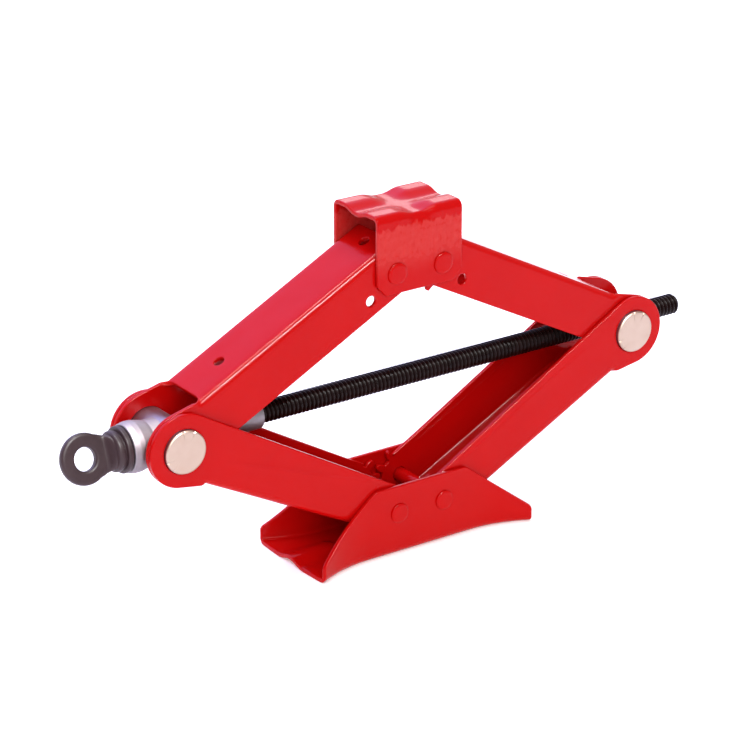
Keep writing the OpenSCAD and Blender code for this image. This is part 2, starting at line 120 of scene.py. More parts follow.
@dataclass
class Outline:
    """A flat path of straight runs and arcs, cut into short steps.

    Attributes:
        step: longest distance between two points.
        points: the path so far.
    """

    step: float = 0.8
    points: list[Point] = field(default_factory=list)

    def to(self, x: float, y: float) -> "Outline":
        """Runs straight to a point, which starts the path if it is empty.

        Args:
            x: first coordinate of the point.
            y: second coordinate of the point.

        Returns:
            The outline itself.
        """
        if not self.points:
            self.points.append((x, y))
            return self
        x0, y0 = self.points[-1]
        length = math.hypot(x - x0, y - y0)
        if length < 1e-6:
            return self
        count = max(1, math.ceil(length / self.step))
        self.points += [(x0 + (x - x0) * i / count, y0 + (y - y0) * i / count) for i in range(1, count + 1)]
        return self

    def arc(self, centre: Point, radius: float, start: float, end: float) -> "Outline":
        """Follows an arc, after a straight run to its start.

        Args:
            centre: centre of the arc.
            radius: radius of the arc.
            start: angle of its first point, in degrees.
            end: angle of its last point, in degrees.

        Returns:
            The outline itself.
        """
        sweep = math.radians(end - start)
        count = max(2, math.ceil(abs(sweep) * radius / self.step), math.ceil(abs(sweep) / 0.35))
        for i in range(count + 1):
            angle = math.radians(start) + sweep * i / count
            spot = (centre[0] + radius * math.cos(angle), centre[1] + radius * math.sin(angle))
            if i == 0:
                self.to(*spot)
            else:
                self.points.append(spot)
        return self

    def turn(self, corner: Point, after: Point, radius: float) -> "Outline":
        """Runs towards a corner and rounds it, heading for the point after it.

        Args:
            corner: the corner that is rounded off.
            after: a point that the path heads for next.
            radius: radius of the rounding.

        Returns:
            The outline itself.
        """
        spot = Vector(corner)
        back = (Vector(self.points[-1]) - spot).normalized()
        ahead = (Vector(after) - spot).normalized()
        half = back.angle(ahead) / 2
        centre = spot + (back + ahead).normalized() * (radius / math.sin(half))
        ends = [spot + way * (radius / math.tan(half)) - centre for way in (back, ahead)]
        start, end = (math.degrees(math.atan2(way.y, way.x)) for way in ends)
        sweep = (end - start + 180) % 360 - 180
        return self.arc((centre.x, centre.y), radius, start, start + sweep)

    def doubled(self) -> list[Point]:
        """Returns the closed loop made of this half and its mirror image in the first axis."""
        other = [(x, -y) for x, y in reversed(self.points) if abs(y) > 1e-6]
        return self.points + other


def mirrored(half: Sequence[float]) -> list[float]:
    """Returns distances on both sides of the middle, and the middle itself."""
    return [-s for s in reversed(half)] + [0.0] + list(half)


def circle_loop(x: float, y: float, radius: float) -> list[Point]:
    """Returns a closed circle as points."""
    count = max(24, math.ceil(2 * math.pi * radius / 0.8))
    turns = [2 * math.pi * i / count for i in range(count)]
    return [(x + radius * math.cos(a), y + radius * math.sin(a)) for a in turns]


def loop_area(loop: np.ndarray) -> float:
    """Returns the signed area of a closed loop, positive when it runs anticlockwise."""
    nxt = np.roll(loop, -1, axis=0)
    return float(np.sum(loop[:, 0] * nxt[:, 1] - nxt[:, 0] * loop[:, 1]) / 2)


def inset(loop: np.ndarray, distance: float) -> np.ndarray:
    """Moves a loop towards its left-hand side by a small distance.

    Args:
        loop: points of a closed loop.
        distance: how far each edge moves.

    Returns:
        The moved points, one for each point of the loop.
    """
    ahead = np.roll(loop, -1, axis=0) - loop
    ahead /= np.linalg.norm(ahead, axis=1, keepdims=True)
    behind = np.roll(ahead, 1, axis=0)
    normal = np.stack([-(ahead[:, 1] + behind[:, 1]), ahead[:, 0] + behind[:, 0]], axis=1)
    normal /= np.maximum(np.linalg.norm(normal, axis=1, keepdims=True), 1e-9)
    lean = np.clip(-normal[:, 0] * ahead[:, 1] + normal[:, 1] * ahead[:, 0], 0.6, 1.0)
    return loop + normal * (distance / lean)[:, None]


def inside(points: np.ndarray, loop: np.ndarray) -> np.ndarray:
    """Tells which points lie inside a closed loop.

    Args:
        points: the points to test.
        loop: the closed loop.

    Returns:
        True for each point inside.
    """
    result = np.zeros(len(points), bool)
    for (x0, y0), (x1, y1) in zip(loop, np.roll(loop, -1, axis=0)):
        spans = (y0 > points[:, 1]) != (y1 > points[:, 1])
        if y0 != y1:
            result ^= spans & (points[:, 0] < (x1 - x0) * (points[:, 1] - y0) / (y1 - y0) + x0)
    return result


# ---- meshes ------------------------------------------------------------------------------


def make_piece(name: str, spots: np.ndarray, faces: list[Sequence[int]], sharp: float = 42.0) -> Piece:
    """Makes a mesh object at the origin, smooth except across sharp edges, with its faces outwards.

    Args:
        name: name of the piece.
        spots: corner points in millimetres.
        faces: indices of each face's corners.
        sharp: angle in degrees past which an edge is sharp.

    Returns:
        The new object, linked to the scene.
    """
    corners = np.array([(f[0], f[i], f[i + 1]) for f in faces for i in range(1, len(f) - 1)])
    a, b, c = (spots[corners[:, i]] for i in range(3))
    if float(np.einsum("ij,ij->i", a, np.cross(b, c)).sum()) < 0:
        faces = [tuple(reversed(f)) for f in faces]
    mesh = bpy.data.meshes.new(name)
    mesh.from_pydata((spots * MM).tolist(), [], [tuple(f) for f in faces])
    mesh.validate()
    mesh.polygons.foreach_set("use_smooth", [True] * len(mesh.polygons))
    mesh.set_sharp_from_angle(angle=math.radians(sharp))
    piece = bpy.data.objects.new(name, mesh)
    bpy.context.scene.collection.objects.link(piece)
    return piece


def join_meshes(name: str, pieces: Sequence[Piece]) -> Piece:
    """Joins several objects at the origin into one and removes them.

    Args:
        name: name of the joined piece.
        pieces: the objects to join.

    Returns:
        The joined object.
    """
    bpy.ops.object.select_all(action="DESELECT")
    for piece in pieces:
        piece.select_set(True)
    bpy.context.view_layer.objects.active = pieces[0]
    bpy.ops.object.join()
    pieces[0].name = name
    pieces[0].data.name = name
    return pieces[0]


def bake_modifiers(piece: Piece) -> Piece:
    """Replaces a piece's mesh with its evaluated one and removes its modifiers.

    Args:
        piece: an object with modifiers.

    Returns:
        The same object.
    """
    graph = bpy.context.evaluated_depsgraph_get()
    made = bpy.data.meshes.new_from_object(piece.evaluated_get(graph), depsgraph=graph)
    piece.modifiers.clear()
    old, piece.data = piece.data, made
    bpy.data.meshes.remove(old)
    made.name = piece.name
    return piece


@dataclass
class PressedSheet:
    """Sheet metal pressed from a flat blank: a folded middle surface with a thickness and soft edges.

    Attributes:
        thickness: thickness of the sheet.
        surface: gives the middle surface's points from the blank's two coordinates.
        outline: the blank's edge.
        holes: closed loops cut out of the blank.
        columns: first coordinates of the points inside the blank.
        rows: second coordinates of the lines of points inside the blank.
        edge: radius of the rounding along every cut edge.
    """

    thickness: float
    surface: Surface
    outline: list[Point]
    holes: list[list[Point]]
    columns: Sequence[float]
    rows: Sequence[float]
    edge: float = 0.7

    RIM_STEPS = 4
    FLAT_RIM = 0.5
    CLEAR = 0.9

    def raised(self, flat: np.ndarray, height: float) -> np.ndarray:
        """Lifts blank points off the middle surface.

        Args:
            flat: points of the blank.
            height: distance along the surface's outward normal.

        Returns:
            Points in space.
        """
        small = 0.02
        u, s = flat[:, 0], flat[:, 1]
        along = self.surface(u + small, s) - self.surface(u - small, s)
        across = self.surface(u, s + small) - self.surface(u, s - small)
        normal = np.cross(along, across)
        normal /= np.linalg.norm(normal, axis=1, keepdims=True)
        return self.surface(u, s) + normal * height

    def rim_profile(self) -> list[Point]:
        """Returns the edge's section from one face to the other, as inset and height."""
        half = self.thickness / 2
        turns = [math.pi / 2 * i / self.RIM_STEPS for i in range(self.RIM_STEPS + 1)]
        upper = [(self.edge + self.FLAT_RIM, half)]
        upper += [(self.edge * (1 - math.sin(a)), half - self.edge * (1 - math.cos(a))) for a in turns]
        return upper + [(gap, -height) for gap, height in reversed(upper)]

    def inner_points(self, loops: list[np.ndarray]) -> tuple[list[Point], list[tuple[int, int]]]:
        """Lays lines of points over the blank, clear of its edges.

        Args:
            loops: the edge loops at their deepest inset, the outer one first.

        Returns:
            The points, and the pairs of neighbours along each line.
        """
        grid = np.array([(u, s) for s in self.rows for u in self.columns])
        kept = inside(grid, loops[0])
        for hole in loops[1:]:
            kept &= ~inside(grid, hole)
        rim = np.concatenate(loops)
        gap = np.array([np.min(np.hypot(*(rim - spot).T)) if keep else 0.0 for spot, keep in zip(grid, kept)])
        kept &= gap > self.CLEAR
        number = np.cumsum(kept) - 1
        wide = len(self.columns)
        pairs = [
            (int(number[i]), int(number[i + 1]))
            for i in range(len(grid) - 1)
            if kept[i] and kept[i + 1] and i % wide != wide - 1
        ]
        return [tuple(spot) for spot in grid[kept]], pairs

    def build(self, name: str, place: Callable[[np.ndarray], np.ndarray]) -> Piece:
        """Makes the pressed piece.

        Args:
            name: name of the piece.
            place: moves points from the sheet's own frame to the row frame.

        Returns:
            The new object.
        """
        edges = []
        for i, loop in enumerate([self.outline, *self.holes]):
            spots = np.array(loop)
            if (loop_area(spots) > 0) != (i == 0):
                spots = spots[::-1]
            edges.append(spots)
        profile = self.rim_profile()
        deepest = [inset(loop, profile[0][0]) for loop in edges]
        rim_count = sum(len(loop) for loop in deepest)
        extra, pairs = self.inner_points(deepest)
        flat = [Vector(spot) for loop in deepest for spot in loop] + [Vector(spot) for spot in extra]
        bounds = []
        first = 0
        for loop in deepest:
            bounds += [(first + i, first + (i + 1) % len(loop)) for i in range(len(loop))]
            first += len(loop)
        bounds += [(a + rim_count, b + rim_count) for a, b in pairs]
        made = geometry.delaunay_2d_cdt(flat, bounds, [], 1, 1e-5, True)
        cap_flat = np.array([tuple(v) for v in made[0]])
        triangles = np.array([tuple(f) for f in made[2]])
        middles = cap_flat[triangles].mean(axis=1)
        keep = inside(middles, deepest[0])
        for hole in deepest[1:]:
            keep &= ~inside(middles, hole)
        triangles = triangles[keep]
        turned = np.cross(cap_flat[triangles[:, 1]] - cap_flat[triangles[:, 0]],
                          cap_flat[triangles[:, 2]] - cap_flat[triangles[:, 0]]) < 0
        triangles[turned] = triangles[turned][:, ::-1]
        cap_of = {}
        for i, sources in enumerate(made[3]):
            for source in sources:
                cap_of[source] = i
        count = len(cap_flat)
        spots = [self.raised(cap_flat, profile[0][1]), self.raised(cap_flat, profile[-1][1])]
        faces: list[Sequence[int]] = [tuple(t) for t in triangles]
        faces += [tuple(t[::-1] + count) for t in triangles]
        total = 2 * count
        first = 0
        for loop in edges:
            size = len(loop)
            rings = [[cap_of[first + i] for i in range(size)]]
            for gap, height in profile[1:-1]:
                spots.append(self.raised(inset(loop, gap), height))
                rings.append(list(range(total, total + size)))
                total += size
            rings.append([cap_of[first + i] + count for i in range(size)])
            for one, two in zip(rings, rings[1:]):
                faces += [(one[i], two[i], two[(i + 1) % size], one[(i + 1) % size]) for i in range(size)]
            first += size
        return make_piece(name, place(np.concatenate(spots)), faces)


def rounded(corners: Sequence[tuple[float, float, float]], step: float = 0.35) -> list[Point]:
    """Rounds the corners of an open profile.

    Args:
        corners: each corner's two coordinates and the radius of its rounding.
        step: longest distance between two points of a rounding.

    Returns:
        The points of the profile.
    """
    path = Outline(step=step)
    path.points.append(corners[0][:2])
    for here, after in zip(corners[1:], corners[2:]):
        if here[2] > 0:
            arc = Outline(step=step, points=[path.points[-1]])
            arc.turn(here[:2], after[:2], here[2])
            reach = math.dist(arc.points[0], here[:2])
            near = min(reach, 6 * here[2]) + 1e-6
            path.points += [spot for spot in arc.points[1:] if math.dist(spot, here[:2]) < near][-12:]
        else:
            path.points.append(here[:2])
    path.points.append(corners[-1][:2])
    return path.points


def turned_piece(
    name: str,
    profile: Sequence[Point],
    centre: Vector,
    axis: Axis,
    closed: bool = False,
    segments: int = 96,
) -> Piece:
    """Makes a solid of revolution.

    Args:
        name: name of the piece.
        profile: distance along the axis and radius of each point.
        centre: point on the axis that distances are measured from.
        axis: direction of the axis.
        closed: whether the profile is a closed ring clear of the axis.
        segments: number of steps round the axis.

    Returns:
        The new object.
    """
    spots: list[tuple[float, float, float]] = []
    rings: list[list[int]] = []
    for along, radius in profile:
        count = segments if radius > 1e-6 else 1
        rings.append(list(range(len(spots), len(spots) + count)))
        for i in range(count):
            angle = 2 * math.pi * i / segments
            c, s = radius * math.cos(angle), radius * math.sin(angle)
            spots.append((along, c, s) if axis is Axis.ALONG else (s, along, c))
    pairs = list(zip(rings, rings[1:] + ([rings[0]] if closed else [])))
    faces: list[Sequence[int]] = []
    for one, two in pairs:
        for i in range(segments):
            j = (i + 1) % segments
            quad = [one[i % len(one)], two[i % len(two)], two[j % len(two)], one[j % len(one)]]
            face = list(dict.fromkeys(quad))
            if len(face) > 2:
                faces.append(face)
    return make_piece(name, np.array(spots) + np.array(centre), faces)


# ---- node trees --------------------------------------------------------------------------


def add_node(
    tree: Tree,
    kind: str,
    inputs: dict[str | int, object] | None = None,
    **settings: object,
) -> bpy.types.Node:
    """Adds a node, sets it up and links or fills its inputs.

    Args:
        tree: the tree that the node joins.
        kind: Blender's name for the node's type.
        inputs: a socket to link from, or a value, for each input by name or number.
        settings: the node's own settings.

    Returns:
        The new node.
    """
    node = tree.nodes.new(kind)
    for key, value in settings.items():
        setattr(node, key, value)
    for key, value in (inputs or {}).items():
        if isinstance(value, Socket):
            tree.links.new(value, node.inputs[key])
        else:
            node.inputs[key].default_value = value
    return node


def add_sums(tree: Tree, known: dict[str, Socket], sums: Sequence[tuple]) -> None:
    """Adds a chain of sums to a tree.

    Args:
        tree: the tree.
        known: sockets by name, to which each sum adds its result.
        sums: each result's name, its operation, and its terms as known names or numbers.
    """
    for name, operation, *terms in sums:
        inputs = {i: known.get(term, term) for i, term in enumerate(terms)}
        known[name] = add_node(tree, "ShaderNodeMath", inputs, operation=operation).outputs[0]


def linear(code: str) -> tuple[float, float, float, float]:
    """Turns an sRGB hex value to a linear colour.

    Args:
        code: six hex digits.

    Returns:
        Red, green, blue and an alpha of 1.
    """
    parts = [int(code[i : i + 2], 16) / 255 for i in (0, 2, 4)]
    red, green, blue = (c / 12.92 if c <= 0.04045 else ((c + 0.055) / 1.055) ** 2.4 for c in parts)
    return red, green, blue, 1.0


def per_metre(size_mm: float) -> float:
    """Returns the texture scale that gives a pattern of this size."""
    return 1.0 / (size_mm * MM)


def new_surface(name: str) -> tuple[Material, Tree, bpy.types.Node, Socket]:
    """Makes an empty node material.

    Args:
        name: name of the material.

    Returns:
        The material, its tree, its shader node and its Object coordinates.
    """
    material = bpy.data.materials.new(name)
    material.use_nodes = True
    tree = material.node_tree
    tree.nodes.clear()
    shader = add_node(tree, "ShaderNodeBsdfPrincipled")
    add_node(tree, "ShaderNodeOutputMaterial", {"Surface": shader.outputs["BSDF"]})
    place = add_node(tree, "ShaderNodeTexCoord").outputs["Object"]
    return material, tree, shader, place


# ---- finishes ----------------------------------------------------------------------------


@dataclass(frozen=True)
class RedEnamel:
    """Glossy red enamel sprayed on pressed steel.

    It pools slightly, so the red varies softly, and it dries with a fine orange peel that breaks up
    highlights.
    A height band, where given, carries a painted reflection (a lighter, mottled pink) over matt dry spray
    with short runs under its top.
    """

    name: str = "red_enamel"
    full: str = "a90505"
    thin: str = "b30807"
    # painted reflection: the lighter pink that the height band is mixed towards
    painted_sheen: str = "bd3b36"
    roughness: float = 0.13
    specular: float = 0.1
    peel_mm: float = 1.7
    wave_mm: float = 16.0
    pool_mm: float = 30.0
    sheen_and_haze_low_mm: float | None = None
    sheen_and_haze_high_mm: float | None = None

    def material(self) -> Material:
        """Returns the finish as a material."""
        material, tree, shader, place = new_surface(self.name)
        pool = add_node(
            tree, "ShaderNodeTexNoise", {"Vector": place, "Scale": per_metre(self.pool_mm), "Detail": 3.0}
        )
        red = add_node(
            tree,
            "ShaderNodeMix",
            {0: pool.outputs["Fac"], 6: linear(self.full), 7: linear(self.thin)},
            data_type="RGBA",
        ).outputs[2]
        wave = add_node(
            tree, "ShaderNodeTexNoise", {"Vector": place, "Scale": per_metre(self.wave_mm), "Detail": 1.0}
        )
        swell = add_node(
            tree, "ShaderNodeBump", {"Height": wave.outputs["Fac"], "Strength": 0.3, "Distance": 0.001}
        )
        peel = add_node(
            tree, "ShaderNodeTexNoise", {"Vector": place, "Scale": per_metre(self.peel_mm), "Detail": 2.0}
        )
        skin = add_node(
            tree,
            "ShaderNodeBump",
            {
                "Height": peel.outputs["Fac"],
                "Strength": 0.25,
                "Distance": 0.0002,
                "Normal": swell.outputs["Normal"],
            },
        )
        gloss = add_node(
            tree,
            "ShaderNodeMapRange",
            {"Value": pool.outputs["Fac"], "To Min": self.roughness - 0.03, "To Max": self.roughness + 0.06},
        ).outputs["Result"]
        normal = skin.outputs["Normal"]
        if self.sheen_and_haze_low_mm is not None and self.sheen_and_haze_high_mm is not None:
            red, gloss, normal = self.sheen_and_dry_spray(tree, place, red, gloss, normal)
        tree.links.new(red, shader.inputs["Base Color"])
        tree.links.new(gloss, shader.inputs["Roughness"])
        tree.links.new(normal, shader.inputs["Normal"])
        shader.inputs["Specular IOR Level"].default_value = self.specular
        return material

    def sheen_and_dry_spray(
        self,
        tree: Tree,
        place: Socket,
        red: Socket,
        gloss: Socket,
        normal: Socket,
    ) -> tuple[Socket, Socket, Socket]:
        """Adds a painted reflection, a lighter mottled pink, and matt dry spray and runs inside the height
        band.

        Args:
            tree: the material's tree.
            place: Object coordinates.
            red: colour of the enamel.
            gloss: its roughness.
            normal: its normal.

        Returns:
            The changed colour, roughness and normal.
        """
        run_w_mm, run_l_mm, mottle_mm = 3.0, 16.0, 3.5
        low, high = self.sheen_and_haze_low_mm * MM, self.sheen_and_haze_high_mm * MM
        stretch = add_node(
            tree,
            "ShaderNodeMapping",
            {"Vector": place, "Scale": (per_metre(run_w_mm), per_metre(run_w_mm), per_metre(run_l_mm))},
        ).outputs["Vector"]
        runs = add_node(
            tree, "ShaderNodeTexNoise", {"Vector": stretch, "Scale": 1.0, "Detail": 2.5}
        ).outputs["Fac"]
        mottle = add_node(
            tree, "ShaderNodeTexNoise", {"Vector": place, "Scale": per_metre(mottle_mm), "Detail": 4.0}
        )
        height = add_node(tree, "ShaderNodeSeparateXYZ", {"Vector": place}).outputs["Z"]
        fade = add_node(
            tree,
            "ShaderNodeMapRange",
            {
                "Value": height,
                "From Min": low,
                "From Max": low + 0.55 * (high - low),
                "To Min": 0.0,
                "To Max": 1.0,
            },
            interpolation_type="SMOOTHSTEP",
        ).outputs["Result"]
        ragged = add_node(
            tree, "ShaderNodeMath", {0: runs, 1: 0.010, 2: height}, operation="MULTIPLY_ADD"
        ).outputs[0]
        top = add_node(
            tree,
            "ShaderNodeMapRange",
            {
                "Value": ragged,
                "From Min": high + 0.0035,
                "From Max": high + 0.0055,
                "To Min": 1.0,
                "To Max": 0.0,
            },
            interpolation_type="SMOOTHSTEP",
        ).outputs["Result"]
        band = add_node(tree, "ShaderNodeMath", {0: fade, 1: top}, operation="MULTIPLY").outputs[0]
        spotty = add_node(
            tree,
            "ShaderNodeMapRange",
            {"Value": mottle.outputs["Fac"], "From Min": 0.3, "From Max": 0.7, "To Min": 0.3, "To Max": 0.65},
        ).outputs["Result"]
        share = add_node(tree, "ShaderNodeMath", {0: band, 1: spotty}, operation="MULTIPLY").outputs[0]
        # painted reflection: lightens the enamel in the band, mottled, where a soft reflection of the lights
        # would lie
        colour = add_node(
            tree, "ShaderNodeMix", {0: share, 6: red, 7: linear(self.painted_sheen)}, data_type="RGBA"
        ).outputs[2]
        dull = add_node(tree, "ShaderNodeMix", {0: share, 2: gloss, 3: 0.5}, data_type="FLOAT").outputs[0]
        ridge = add_node(tree, "ShaderNodeMath", {0: runs, 1: band}, operation="MULTIPLY").outputs[0]
        bump = add_node(
            tree, "ShaderNodeBump", {"Height": ridge, "Strength": 0.5, "Distance": 0.0008, "Normal": normal}
        )
        return colour, dull, bump.outputs["Normal"]


@dataclass(frozen=True)
class TurnedSteel:
    """Bare low-carbon steel, faced on a lathe: pale and warm, with fine rings about its own axis.

    Where a plated half length is given, the surface inside it is greyer, as a zinc-plated bar's side is.
    """

    name: str
    centre_mm: tuple[float, float, float]
    axis: Axis
    colour: str = "bca797"
    stain: str = "b29a89"
    plated: str = "8f8891"
    plated_half_mm: float = 0.0
    roughness: float = 0.34
    ring_mm: float = 0.45
    stain_mm: float = 9.0

    def material(self) -> Material:
        """Returns the finish as a material."""
        material, tree, shader, place = new_surface(self.name)
        shift = tuple(-c * MM for c in self.centre_mm)
        local = add_node(tree, "ShaderNodeMapping", {"Vector": place, "Location": shift}).outputs["Vector"]
        flat = (0.0, 1.0, 1.0) if self.axis is Axis.ALONG else (1.0, 0.0, 1.0)
        radial = add_node(tree, "ShaderNodeVectorMath", {0: local, 1: flat}, operation="MULTIPLY").outputs[0]
        radius = add_node(tree, "ShaderNodeVectorMath", {0: radial}, operation="LENGTH").outputs["Value"]
        rings = add_node(
            tree, "ShaderNodeTexNoise", {"W": radius, "Scale": per_metre(self.ring_mm), "Detail": 1.0},
            noise_dimensions="1D",
        ).outputs["Fac"]
        cloud = add_node(
            tree, "ShaderNodeTexNoise", {"Vector": place, "Scale": per_metre(self.stain_mm), "Detail": 3.0}
        )
        colour = add_node(
            tree,
            "ShaderNodeMix",
            {0: cloud.outputs["Fac"], 6: linear(self.colour), 7: linear(self.stain)},
            data_type="RGBA",
        ).outputs[2]
        across = add_node(tree, "ShaderNodeSeparateXYZ", {"Vector": local}).outputs["Y"]
        reach = add_node(tree, "ShaderNodeMath", {0: across}, operation="ABSOLUTE").outputs[0]
        side = add_node(
            tree, "ShaderNodeMath", {0: reach, 1: self.plated_half_mm * MM}, operation="LESS_THAN"
        )
        colour = add_node(
            tree,
            "ShaderNodeMix",
            {0: side.outputs[0], 6: colour, 7: linear(self.plated)},
            data_type="RGBA",
        ).outputs[2]
        tree.links.new(colour, shader.inputs["Base Color"])
        bump = add_node(tree, "ShaderNodeBump", {"Height": rings, "Strength": 0.25, "Distance": 0.00006})
        tree.links.new(bump.outputs["Normal"], shader.inputs["Normal"])
        rough = add_node(
            tree,
            "ShaderNodeMapRange",
            {"Value": cloud.outputs["Fac"], "To Min": self.roughness - 0.05, "To Max": self.roughness + 0.1},
        )
        tree.links.new(rough.outputs["Result"], shader.inputs["Roughness"])
        shader.inputs["Metallic"].default_value = 1.0
        return material


@dataclass(frozen=True)
class ZincPlate:
    """Bright zinc plate over turned steel: silvery with a faint lilac cast and lathe lines round the axis."""

    name: str = "zinc_plate"
    colour: str = "968e91"
    cast: str = "857b80"
    roughness: float = 0.52
    line_mm: float = 0.5
    cloud_mm: float = 7.0

    def material(self) -> Material:
        """Returns the finish as a material."""
        material, tree, shader, place = new_surface(self.name)
        along = add_node(tree, "ShaderNodeSeparateXYZ", {"Vector": place}).outputs["X"]
        lines = add_node(
            tree, "ShaderNodeTexNoise", {"W": along, "Scale": per_metre(self.line_mm), "Detail": 1.0},
            noise_dimensions="1D",
        ).outputs["Fac"]
        cloud = add_node(
            tree, "ShaderNodeTexNoise", {"Vector": place, "Scale": per_metre(self.cloud_mm), "Detail": 3.0}
        )
        colour = add_node(
            tree,
            "ShaderNodeMix",
            {0: cloud.outputs["Fac"], 6: linear(self.colour), 7: linear(self.cast)},
            data_type="RGBA",
        ).outputs[2]
        tree.links.new(colour, shader.inputs["Base Color"])
        bump = add_node(tree, "ShaderNodeBump", {"Height": lines, "Strength": 0.3, "Distance": 0.00005})
        tree.links.new(bump.outputs["Normal"], shader.inputs["Normal"])
        rough = add_node(
            tree,
            "ShaderNodeMapRange",
            {"Value": cloud.outputs["Fac"], "To Min": self.roughness - 0.04, "To Max": self.roughness + 0.1},
        )
        tree.links.new(rough.outputs["Result"], shader.inputs["Roughness"])
        shader.inputs["Metallic"].default_value = 1.0
        return material


@dataclass(frozen=True)
class DarkSteel:
    """Steel darkened by a black oxide bath or by forging scale: nearly black, with a thin skin."""

    name: str
    colour: str
    patch: str
    roughness: float
    metallic: float
    grain_mm: float
    grain_height_mm: float
    specular: float = 0.3
    patch_mm: float = 8.0

    def material(self) -> Material:
        """Returns the finish as a material."""
        material, tree, shader, place = new_surface(self.name)
        cloud = add_node(
            tree, "ShaderNodeTexNoise", {"Vector": place, "Scale": per_metre(self.patch_mm), "Detail": 4.0}
        )
        colour = add_node(
            tree,
            "ShaderNodeMix",
            {0: cloud.outputs["Fac"], 6: linear(self.colour), 7: linear(self.patch)},
            data_type="RGBA",
        ).outputs[2]
        tree.links.new(colour, shader.inputs["Base Color"])
        grain = add_node(
            tree, "ShaderNodeTexNoise", {"Vector": place, "Scale": per_metre(self.grain_mm), "Detail": 3.0}
        )
        bump = add_node(
            tree,
            "ShaderNodeBump",
            {"Height": grain.outputs["Fac"], "Strength": 0.6, "Distance": self.grain_height_mm * MM},
        )
        tree.links.new(bump.outputs["Normal"], shader.inputs["Normal"])
        rough = add_node(
            tree,
            "ShaderNodeMapRange",
            {"Value": cloud.outputs["Fac"], "To Min": self.roughness - 0.06, "To Max": self.roughness + 0.1},
        )
        tree.links.new(rough.outputs["Result"], shader.inputs["Roughness"])
        shader.inputs["Metallic"].default_value = self.metallic
        shader.inputs["Specular IOR Level"].default_value = self.specular
        return material


@dataclass(frozen=True)
class CageBrass:
    """Stamped brass of the ball cage: yellow, soft and slightly brushed."""

    name: str = "cage_brass"
    colour: str = "d2a84e"
    dull: str = "b08a3a"
    roughness: float = 0.3
    brush_mm: float = 0.6

    def material(self) -> Material:
        """Returns the finish as a material."""
        material, tree, shader, place = new_surface(self.name)
        brush = add_node(
            tree, "ShaderNodeTexNoise", {"Vector": place, "Scale": per_metre(self.brush_mm), "Detail": 2.0}
        )
        colour = add_node(
            tree,
            "ShaderNodeMix",
            {0: brush.outputs["Fac"], 6: linear(self.colour), 7: linear(self.dull)},
            data_type="RGBA",
        ).outputs[2]
        tree.links.new(colour, shader.inputs["Base Color"])
        bump = add_node(
            tree, "ShaderNodeBump", {"Height": brush.outputs["Fac"], "Strength": 0.2, "Distance": 0.0001}
        )
        tree.links.new(bump.outputs["Normal"], shader.inputs["Normal"])
        shader.inputs["Roughness"].default_value = self.roughness
        shader.inputs["Metallic"].default_value = 1.0
        return material


@dataclass(frozen=True)
class StudioPaper:
    """Matt white background paper under the jack, lit faintly from below."""

    name: str = "studio_paper"
    colour: str = "fafafa"
    glow: float = 0.22
    fibre_mm: float = 2.0

    def material(self) -> Material:
        """Returns the finish as a material."""
        material, tree, shader, place = new_surface(self.name)
        fibre = add_node(
            tree, "ShaderNodeTexNoise", {"Vector": place, "Scale": per_metre(self.fibre_mm), "Detail": 2.0}
        )
        bump = add_node(
            tree, "ShaderNodeBump", {"Height": fibre.outputs["Fac"], "Strength": 0.05, "Distance": 0.0001}
        )
        tree.links.new(bump.outputs["Normal"], shader.inputs["Normal"])
        shader.inputs["Base Color"].default_value = linear(self.colour)
        shader.inputs["Emission Color"].default_value = linear(self.colour)
        shader.inputs["Emission Strength"].default_value = self.glow
        shader.inputs["Roughness"].default_value = 1.0
        shader.inputs["Specular IOR Level"].default_value = 0.0
        return material


def dress(piece: Piece, material: Material) -> Piece:
    """Puts a finish on a piece.

    Args:
        piece: the piece.
        material: its only material.

    Returns:
        The piece.
    """
    piece.data.materials.clear()
    piece.data.materials.append(material)
    return piece


def hand_over(piece: Piece, body: str, *nodes: str) -> None:
    """Lets a finished piece ride on its body in place of CAD nodes.

    Args:
        piece: the finished piece.
        body: the body that it moves with.
        nodes: the CAD nodes that it stands for.
    """
    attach(piece, body)
    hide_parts(*nodes)
    log.info("%s: %d vertices on %s", piece.name, len(piece.data.vertices), body)


# ---- the linkage's places ----------------------------------------------------------------


@dataclass(frozen=True)
class Linkage:
    """Places of the pivots at rest, in millimetres, taken from the frame."""

    trunnion_x: float
    trunnion_z: float
    pivot_x: float
    base_pivot_z: float
    saddle_pivot_z: float

    @classmethod
    def from_frame(cls) -> "Linkage":
        """Reads the places from the CAD nodes."""
        trunnion = centre_mm("nut_trunnion")
        base_pin = centre_mm("base_pin_right")
        saddle_pin = centre_mm("saddle_pin_right")
        return cls(trunnion.x, trunnion.z, base_pin.x, base_pin.z, saddle_pin.z)

    @property
    def arm_len(self) -> float:
        """Length of an arm between its pivots."""
        return math.hypot(self.trunnion_x - self.pivot_x, self.trunnion_z - self.base_pivot_z)

    @property
    def angle(self) -> float:
        """Angle of the arms above the horizontal, in radians."""
        return math.atan2(self.trunnion_z - self.base_pivot_z, self.trunnion_x - self.pivot_x)


# ---- arms --------------------------------------------------------------------------------


